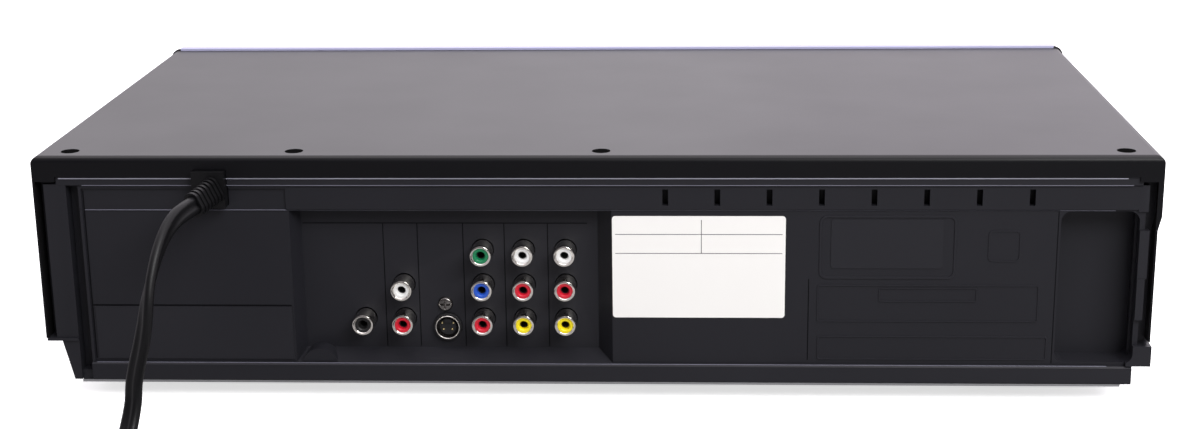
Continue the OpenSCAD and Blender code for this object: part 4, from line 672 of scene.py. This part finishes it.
class PLAYER_OT_jacks(bpy.types.Operator):
    """Phono jacks with plated shells, coloured cores and painted shade lining their holes, front and rear"""
    bl_idname = "player.jacks"
    bl_label = "Jacks"

    def execute(self, context):
        shells, cores, wells = [], {}, []
        depth = 11.5
        shell = [(3.1, 0.0), (4.15, 0.0), (4.15, 11.0), (4.0, 11.35), (3.75, depth), (3.3, depth), (3.05, 11.25),
                 (3.0, 9.0)]
        core = [(3.1, 0.0), (3.1, 10.75), (2.95, 11.0), (2.1, 11.0), (1.75, 10.7), (1.6, 10.2), (1.6, 1.0), (0.0, 1.0)]
        well = [(1.62, 1.0), (1.62, 8.6), (1.3, 8.6), (1.3, 1.2)]
        spots = [((x, JACK_FOOT, JACK_Z + i * JACK_PITCH), c, 1) for x, col in JACKS for i, c in enumerate(col)]
        spots += [((x, FRONT_JACK_Y, FRONT_JACK_Z), c, -1) for x, c in FRONT_JACKS]
        for centre, colour, way in spots:
            k = 1.0 if way > 0 else FRONT_JACK_DEPTH / depth
            shells.append(lathe([(r, way * t * k) for r, t in shell], centre, count=32))
            cores.setdefault(colour, []).append(lathe([(r, way * t * k) for r, t in core], centre, count=32))
            wells.append(lathe([(r, way * t * k) for r, t in well], centre, count=20))
        metal = piece("jack_shell_rings", *join_shapes(shells), "case", look("nickel"), slot="jack_metal")
        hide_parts("jack_shells")
        # painted shade: a black lining inside each jack's hole
        piece("jack_contacts", *join_shapes(wells), "case", look("chip"))
        for i, (colour, shapes) in enumerate(cores.items()):
            obj = piece("jack_core_" + colour, *join_shapes(shapes), "case", look(colour), slot="jack_colours")
            if i == 0:
                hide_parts("jack_inserts")
        return {"FINISHED"}


class PLAYER_OT_label(bpy.types.Operator):
    """Blank rating label with ruled lines, stuck to the flat rear panel"""
    bl_idname = "player.label"
    bl_label = "Label"

    def execute(self, context):
        size = context.scene.player_size
        x1, z1 = -7.9, 68.0
        x0, z0 = x1 - size.label_width / MM, z1 - size.label_height / MM
        piece("rating_label", *rear_plate(x0, x1, z0, z1, 1.2, 2.28, 2.42), "case", look("paper"))
        upper, lower, thick, ink = 60.6, 53.0, 0.25, (2.26, 2.3)
        rules = [rear(x0 + 1.2, x1 - 1.2, z, z + thick, *ink) for z in (upper, lower)]
        rules += [rear(-42.2, -41.95, lower, 66.5, *ink)]
        piece("rating_label_rules", *join_shapes(rules), "case", look("ink"))
        return {"FINISHED"}


class PLAYER_OT_rear_relief(bpy.types.Operator):
    """Rims and plain fields moulded into the rear panel, with its parting lines as painted groove shade, painted
    highlights on its shoulder and band edges, and gap fillers
    """
    bl_idname = "player.rear_relief"
    bl_label = "Rear relief"

    def execute(self, context):
        # painted shade: thin dark strips stand for the shadow in the parting grooves
        low, high, thick = 12.5, 62.8, 0.35
        lines = [rear(2, 113, high, high + thick, *BAY_LINE)]
        lines += [rear(x, x + thick, low, high, *BAY_LINE) for x in (81.5, 68.1, 50.3, 34.2, 17.3)]
        lines += [rear(117.5, 196, 31.3, 31.9, *PANEL_LINE), rear(196, 196.5, 9.6, 78, *PANEL_LINE)]
        lines += [rear(-83.45, -83.05, 10, 43, *PANEL_LINE), rear(-177.2, -176.85, 9, 70, *PANEL_LINE)]
        piece("rear_parting_lines", *join_shapes(lines), "case", look("seam"))
        fillers = [box(-213.9, -206.5, 107.6, 108.9, BASE + 10.6, BASE + 82), rear(-200, 30, 70.9, 79.9, 7.6, 8.6)]
        piece("seam_fillers", *join_shapes(fillers), "case", look("chassis"), slot="chassis_plastic")
        # painted highlight: a pale strip where the shoulder under the cover's flange catches the light
        shoulder = rear(-201.8, 205, 82.95, 83.35, 0.74, 1.1)
        piece("shoulder_edges", *shoulder, "case", look("edge"), bevel=0.1)
        # painted highlights: paler strips along the band and kerb edges where they catch the light
        bands = [rear(-204, 196, 80.25, 80.6, 0.84, 1.2), rear(-198, 196, 70.2, 70.5, 2.0, 2.5),
                 rear(-198, 196, 8.2, 8.45, 0.9, 1.4)]
        piece("band_edges", *join_shapes(bands), "case", look("soft_edge"), bevel=0.1)
        fields = [
            rim(-139, -87, 43, 68.4, 3, 1, 2.05, 2.41), rear_plate(-134, -91.5, 47.3, 66.8, 1.2, 2.15, 2.41),
            rim(-163.3, -151, 50, 62.5, 2, 0.6, 2.1, 2.41), rim(-171, -86.5, 25.7, 40.6, 1, 0.5, 2.1, 2.41),
            rim(-147.6, -110, 33.8, 39.5, 0.8, 0.5, 2.1, 2.41), rim(-175, -86.8, 10.2, 20, 1, 0.6, 2.1, 2.41),
        ]
        piece("rear_raised_fields", *join_shapes(fields), "case", look("rear_plastic"), smooth=30, slot="rear_plastic")
        return {"FINISHED"}


class PLAYER_OT_bay_fittings(bpy.types.Operator):
    """Round video jack and the plated screw in the jack bay"""
    bl_idname = "player.bay_fittings"
    bl_label = "Bay fittings"

    def execute(self, context):
        x, y, z = 57.4, JACK_FOOT, 27.8
        outer = [(5.6, 0), (5.6, 3.5), (5.4, 3.75), (4.9, 3.75), (4.8, 3.6), (4.8, 0.4)]
        core = [(4.2, 0.3), (3.3, 0.3), (3.3, 2.7), (3.15, 2.85), (0, 2.85)]
        black = [lathe(outer, (x, y, z), count=48), lathe(core, (x, y, z)),
                 box(x - 1.2, x + 1.2, BAY_FLOOR - 1, BAY_FLOOR + 1.5, z + 1.8, z + 3.2)]
        jack = piece("video_jack_body", *join_shapes(black), "case", look("block"), slot="jack_block")
        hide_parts("svideo_jack")
        shell = lathe([(4.8, 0.3), (4.8, 4.1), (4.7, 4.2), (4.5, 4.2), (4.4, 4.1), (4.4, 0.3)], (x, y, z), count=48)
        pin = [(0.45, 0.5), (0.45, 3.1), (0.3, 3.3), (0, 3.3)]
        pins = [lathe(pin, (x + dx, y, z + dz), count=10)
                for dx, dz in ((-1.7, -1), (1.7, -1), (-2.2, 1.6), (2.2, 1.6))]
        piece("video_jack_shell", *shell, "case", look("nickel"), slot="jack_metal")
        piece("video_jack_pins", *join_shapes(pins), "case", look("brass"), slot="jack_metal")
        piece("bay_screw", *cross_head((58.2, BAY_FLOOR, 37.0), 3.0, 1.5), "case", look("dark_steel"), smooth=50)
        return {"FINISHED"}


class PLAYER_OT_front_edge(bpy.types.Operator):
    """Dark bead round the back edge of the front panel, and the pale lip of its silver trim, whose bluish tint is a
    painted reflection
    """
    bl_idname = "player.front_edge"
    bl_label = "Front edge"

    def execute(self, context):
        half = 216.4
        outer = corner_outline(-half, half, 27, 99.75, 4.6)
        inner = corner_outline(2 - half, half - 2, 29, 98.2, 3.4)
        n = len(outer)
        verts = [(x, y, z) for y in (-101.2, -99.1) for ring in (outer, inner) for x, z in ring]
        faces = []
        for k in range(n):
            m = (k + 1) % n
            faces += [(k, m, n + m, n + k), (2 * n + k, 3 * n + k, 3 * n + m, 2 * n + m),
                      (k, 2 * n + k, 2 * n + m, m), (n + k, n + m, 3 * n + m, 3 * n + k)]
        piece("front_panel_bead", verts, faces, "case", look("block"), bevel=0.3, slot="front_gloss")
        # the lip's bluish tint is a painted reflection
        lip = box(-211.8, 211.8, -104.2, -98.95, 98.4, 100.2)
        piece("front_trim_lip", *lip, "case", look("trim_lip"), bevel=0.35, slot="trim_silver")
        return {"FINISHED"}


class PLAYER_OT_key_marks(bpy.types.Operator):
    """Plain symbols printed on the keys"""
    bl_idname = "player.key_marks"
    bl_label = "Key marks"

    def execute(self, context):
        r = 1.5

        def arrow(x, z, way):
            return [(x - way * r * 0.8, z - r), (x + way * r * 0.8, z), (x - way * r * 0.8, z + r)]

        def raised(x, z):
            return [[(x - r, z - 0.5), (x + r, z - 0.5), (x, z + r * 0.8)],
                    [(x - r, z - 1.7), (x + r, z - 1.7), (x + r, z - 1.0), (x - r, z - 1.0)]]

        def ring(x, z, r0, r1, a0, a1, n=20):
            turn = [math.radians(a0 + (a1 - a0) * k / n) for k in range(n + 1)]
            out = [(x + r1 * math.sin(a), z + r1 * math.cos(a)) for a in turn]
            return out + [(x + r0 * math.sin(a), z + r0 * math.cos(a)) for a in reversed(turn)]

        # x of the keys in the long row, and the row's middle height
        power, rewind, play, forward, stop, record = -189, -161, -134, -107, -80, -53
        z = 47.0
        marks = {
            "rewind_key": [arrow(rewind - 1.2, z, -1), arrow(rewind + 1.2, z, -1)],
            "play_key": [arrow(play, z, 1)],
            "forward_key": [arrow(forward - 1.2, z, 1), arrow(forward + 1.2, z, 1)],
            "stop_key": [corner_outline(stop - 1.3, stop + 1.3, z - 1.3, z + 1.3, 0.1)],
            "record_key": [[(record + 1.4 * math.cos(k / 12 * math.pi), z + 1.4 * math.sin(k / 12 * math.pi))
                            for k in range(24)]],
            "power_key": [ring(power, z, 1.75, 2.2, 35, 325),
                          corner_outline(power - 0.25, power + 0.25, z + 0.4, z + 2.9, 0.1)],
            "eject_key": raised(-19, 29),
            "tray_key": raised(187.7, 79),
        }
        face, thick = -116.03, 0.13
        for body, shapes in marks.items():
            outlines = [plate(shape, face, face + thick) for shape in shapes]
            piece("mark_" + body, *join_shapes(outlines), body, look("print"))
        return {"FINISHED"}


class PLAYER_OT_stage(bpy.types.Operator):
    """White studio floor, softboxes and the camera at the photograph's angle"""
    bl_idname = "player.stage"
    bl_label = "Stage"

    def execute(self, context):
        scene = context.scene
        cam_set, light = scene.player_camera, scene.player_light
        data = bpy.data.cameras.new("camera")
        cam = bpy.data.objects.new("camera", data)
        scene.collection.objects.link(cam)
        cam.location = cam_set.place
        cam.rotation_euler = [math.radians(a) for a in cam_set.turn]
        data.lens = cam_set.lens
        data.sensor_width = 36.0
        data.clip_start, data.clip_end = 0.01, 50.0
        scene.camera = cam

        far, low = 6000, -0.05
        corners = [(-far, -far, low), (far, -far, low), (far, far, low), (-far, far, low)]
        floor = piece("studio_floor", corners, [(0, 1, 2, 3)], None, floor_material(light.glow))

        for name, place, size, watts in (
            ("softbox_top", (0.1, 0.1, 1.3), (1.6, 1.0), light.top),
            ("softbox_fill", (-0.75, 1.1, 1.05), (1.0, 0.7), light.fill),
            ("softbox_front", (0.5, -1.6, 1.0), (1.4, 0.8), light.front),
        ):
            lamp = bpy.data.lights.new(name, "AREA")
            lamp.shape = "RECTANGLE"
            lamp.size, lamp.size_y = size
            lamp.energy = watts
            obj = bpy.data.objects.new(name, lamp)
            scene.collection.objects.link(obj)
            obj.location = place
            aim = Vector((0, 0, 0.05)) - Vector(place)
            obj.rotation_euler = aim.to_track_quat("-Z", "Y").to_euler()

        scene.world = studio_world(light.sky)
        scene.view_settings.view_transform = "Standard"
        return {"FINISHED"}


def studio_world(sky):
    """Bright above and beyond the set, dim behind the camera, plain white to the camera itself."""
    world = bpy.data.worlds.new("studio")
    world.use_nodes = True
    nodes, links = world.node_tree.nodes, world.node_tree.links
    nodes.clear()
    out = nodes.new("ShaderNodeOutputWorld")
    coord = nodes.new("ShaderNodeTexCoord")
    split = nodes.new("ShaderNodeSeparateXYZ")
    links.new(coord.outputs["Generated"], split.inputs["Vector"])
    steps = {}
    # (axis, from, to, strength at from, strength at to): the brighter of Y and Z, times X
    for axis, a, b, low, high in (
        ("Y", -0.1, 0.35, 1.0, 0.12),
        ("Z", 0.35, 0.95, 0.0, 1.1),
        ("X", -0.25, 0.3, 1.5, 1.05),
    ):
        step = nodes.new("ShaderNodeMapRange")
        step.interpolation_type = "SMOOTHSTEP"
        for key, value in (("From Min", a), ("From Max", b), ("To Min", low), ("To Max", high)):
            step.inputs[key].default_value = value
        links.new(split.outputs[axis], step.inputs["Value"])
        steps[axis] = step.outputs["Result"]
    both = nodes.new("ShaderNodeMath")
    both.operation = "MAXIMUM"
    links.new(steps["Y"], both.inputs[0])
    links.new(steps["Z"], both.inputs[1])
    lean = nodes.new("ShaderNodeMath")
    lean.operation = "MULTIPLY"
    links.new(both.outputs["Value"], lean.inputs[0])
    links.new(steps["X"], lean.inputs[1])
    light = nodes.new("ShaderNodeBackground")
    scale = nodes.new("ShaderNodeMath")
    scale.operation = "MULTIPLY"
    scale.inputs[1].default_value = sky
    links.new(lean.outputs["Value"], scale.inputs[0])
    links.new(scale.outputs["Value"], light.inputs["Strength"])
    light.inputs["Color"].default_value = (1.0, 0.94, 1.02, 1)
    plain = nodes.new("ShaderNodeBackground")
    plain.inputs["Color"].default_value = (1, 1, 1, 1)
    path = nodes.new("ShaderNodeLightPath")
    mix = nodes.new("ShaderNodeMixShader")
    links.new(path.outputs["Is Camera Ray"], mix.inputs["Fac"])
    links.new(light.outputs["Background"], mix.inputs[1])
    links.new(plain.outputs["Background"], mix.inputs[2])
    links.new(mix.outputs["Shader"], out.inputs["Surface"])
    return world


def floor_material(glow):
    """White floor that takes the shadow. It glows for the camera alone, and is dim to every other ray."""
    mat = bpy.data.materials.new("floor_white")
    mat.use_nodes = True
    nodes, links = mat.node_tree.nodes, mat.node_tree.links
    nodes.clear()
    dim, white = 0.3, 0.93
    out = nodes.new("ShaderNodeOutputMaterial")
    diffuse = nodes.new("ShaderNodeBsdfDiffuse")
    lit = nodes.new("ShaderNodeEmission")
    path = nodes.new("ShaderNodeLightPath")
    shade = nodes.new("ShaderNodeMapRange")
    shade.inputs["To Min"].default_value = dim
    shade.inputs["To Max"].default_value = white
    links.new(path.outputs["Is Camera Ray"], shade.inputs["Value"])
    links.new(shade.outputs["Result"], diffuse.inputs["Color"])
    scale = nodes.new("ShaderNodeMath")
    scale.operation = "MULTIPLY"
    scale.inputs[1].default_value = glow
    links.new(path.outputs["Is Camera Ray"], scale.inputs[0])
    links.new(scale.outputs["Value"], lit.inputs["Strength"])
    add = nodes.new("ShaderNodeAddShader")
    links.new(diffuse.outputs["BSDF"], add.inputs[0])
    links.new(lit.outputs["Emission"], add.inputs[1])
    links.new(add.outputs["Shader"], out.inputs["Surface"])
    return mat


class PLAYER_PT_panel(bpy.types.Panel):
    bl_label = "Combo Player"
    bl_idname = "PLAYER_PT_panel"
    bl_space_type = "VIEW_3D"
    bl_region_type = "UI"
    bl_category = "Player"

    def draw(self, context):
        col = self.layout.column()
        for cls in OPERATORS:
            col.operator(cls.bl_idname)
        scene = context.scene
        for group in (scene.player_camera, scene.player_light, scene.player_finish, scene.player_size):
            for prop in group.__annotations__:
                self.layout.prop(group, prop)


OPERATORS = (PLAYER_OT_stage, PLAYER_OT_dress_frame, PLAYER_OT_cord, PLAYER_OT_jacks, PLAYER_OT_bay_fittings,
             PLAYER_OT_rear_relief, PLAYER_OT_label, PLAYER_OT_front_edge, PLAYER_OT_key_marks)
CLASSES = (PlayerCameraSettings, PlayerLightSettings, PlayerFinishSettings, PlayerSizeSettings, *OPERATORS,
           PLAYER_PT_panel)


def register():
    for cls in CLASSES:
        bpy.utils.register_class(cls)
    bpy.types.Scene.player_camera = PointerProperty(type=PlayerCameraSettings)
    bpy.types.Scene.player_light = PointerProperty(type=PlayerLightSettings)
    bpy.types.Scene.player_finish = PointerProperty(type=PlayerFinishSettings)
    bpy.types.Scene.player_size = PointerProperty(type=PlayerSizeSettings)


def unregister():
    del bpy.types.Scene.player_size
    del bpy.types.Scene.player_finish
    del bpy.types.Scene.player_light
    del bpy.types.Scene.player_camera
    for cls in reversed(CLASSES):
        bpy.utils.unregister_class(cls)


def main():
    """Clears the start-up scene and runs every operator."""
    for obj in list(bpy.data.objects):
        if not obj.name.startswith("body:") and obj.name not in frame["nodes"]:
            bpy.data.objects.remove(obj)
    register()
    bpy.ops.player.stage()
    bpy.ops.player.dress_frame()
    bpy.ops.player.cord()
    bpy.ops.player.jacks()
    bpy.ops.player.bay_fittings()
    bpy.ops.player.rear_relief()
    bpy.ops.player.label()
    bpy.ops.player.front_edge()
    bpy.ops.player.key_marks()


if __name__ == "__main__":
    main()
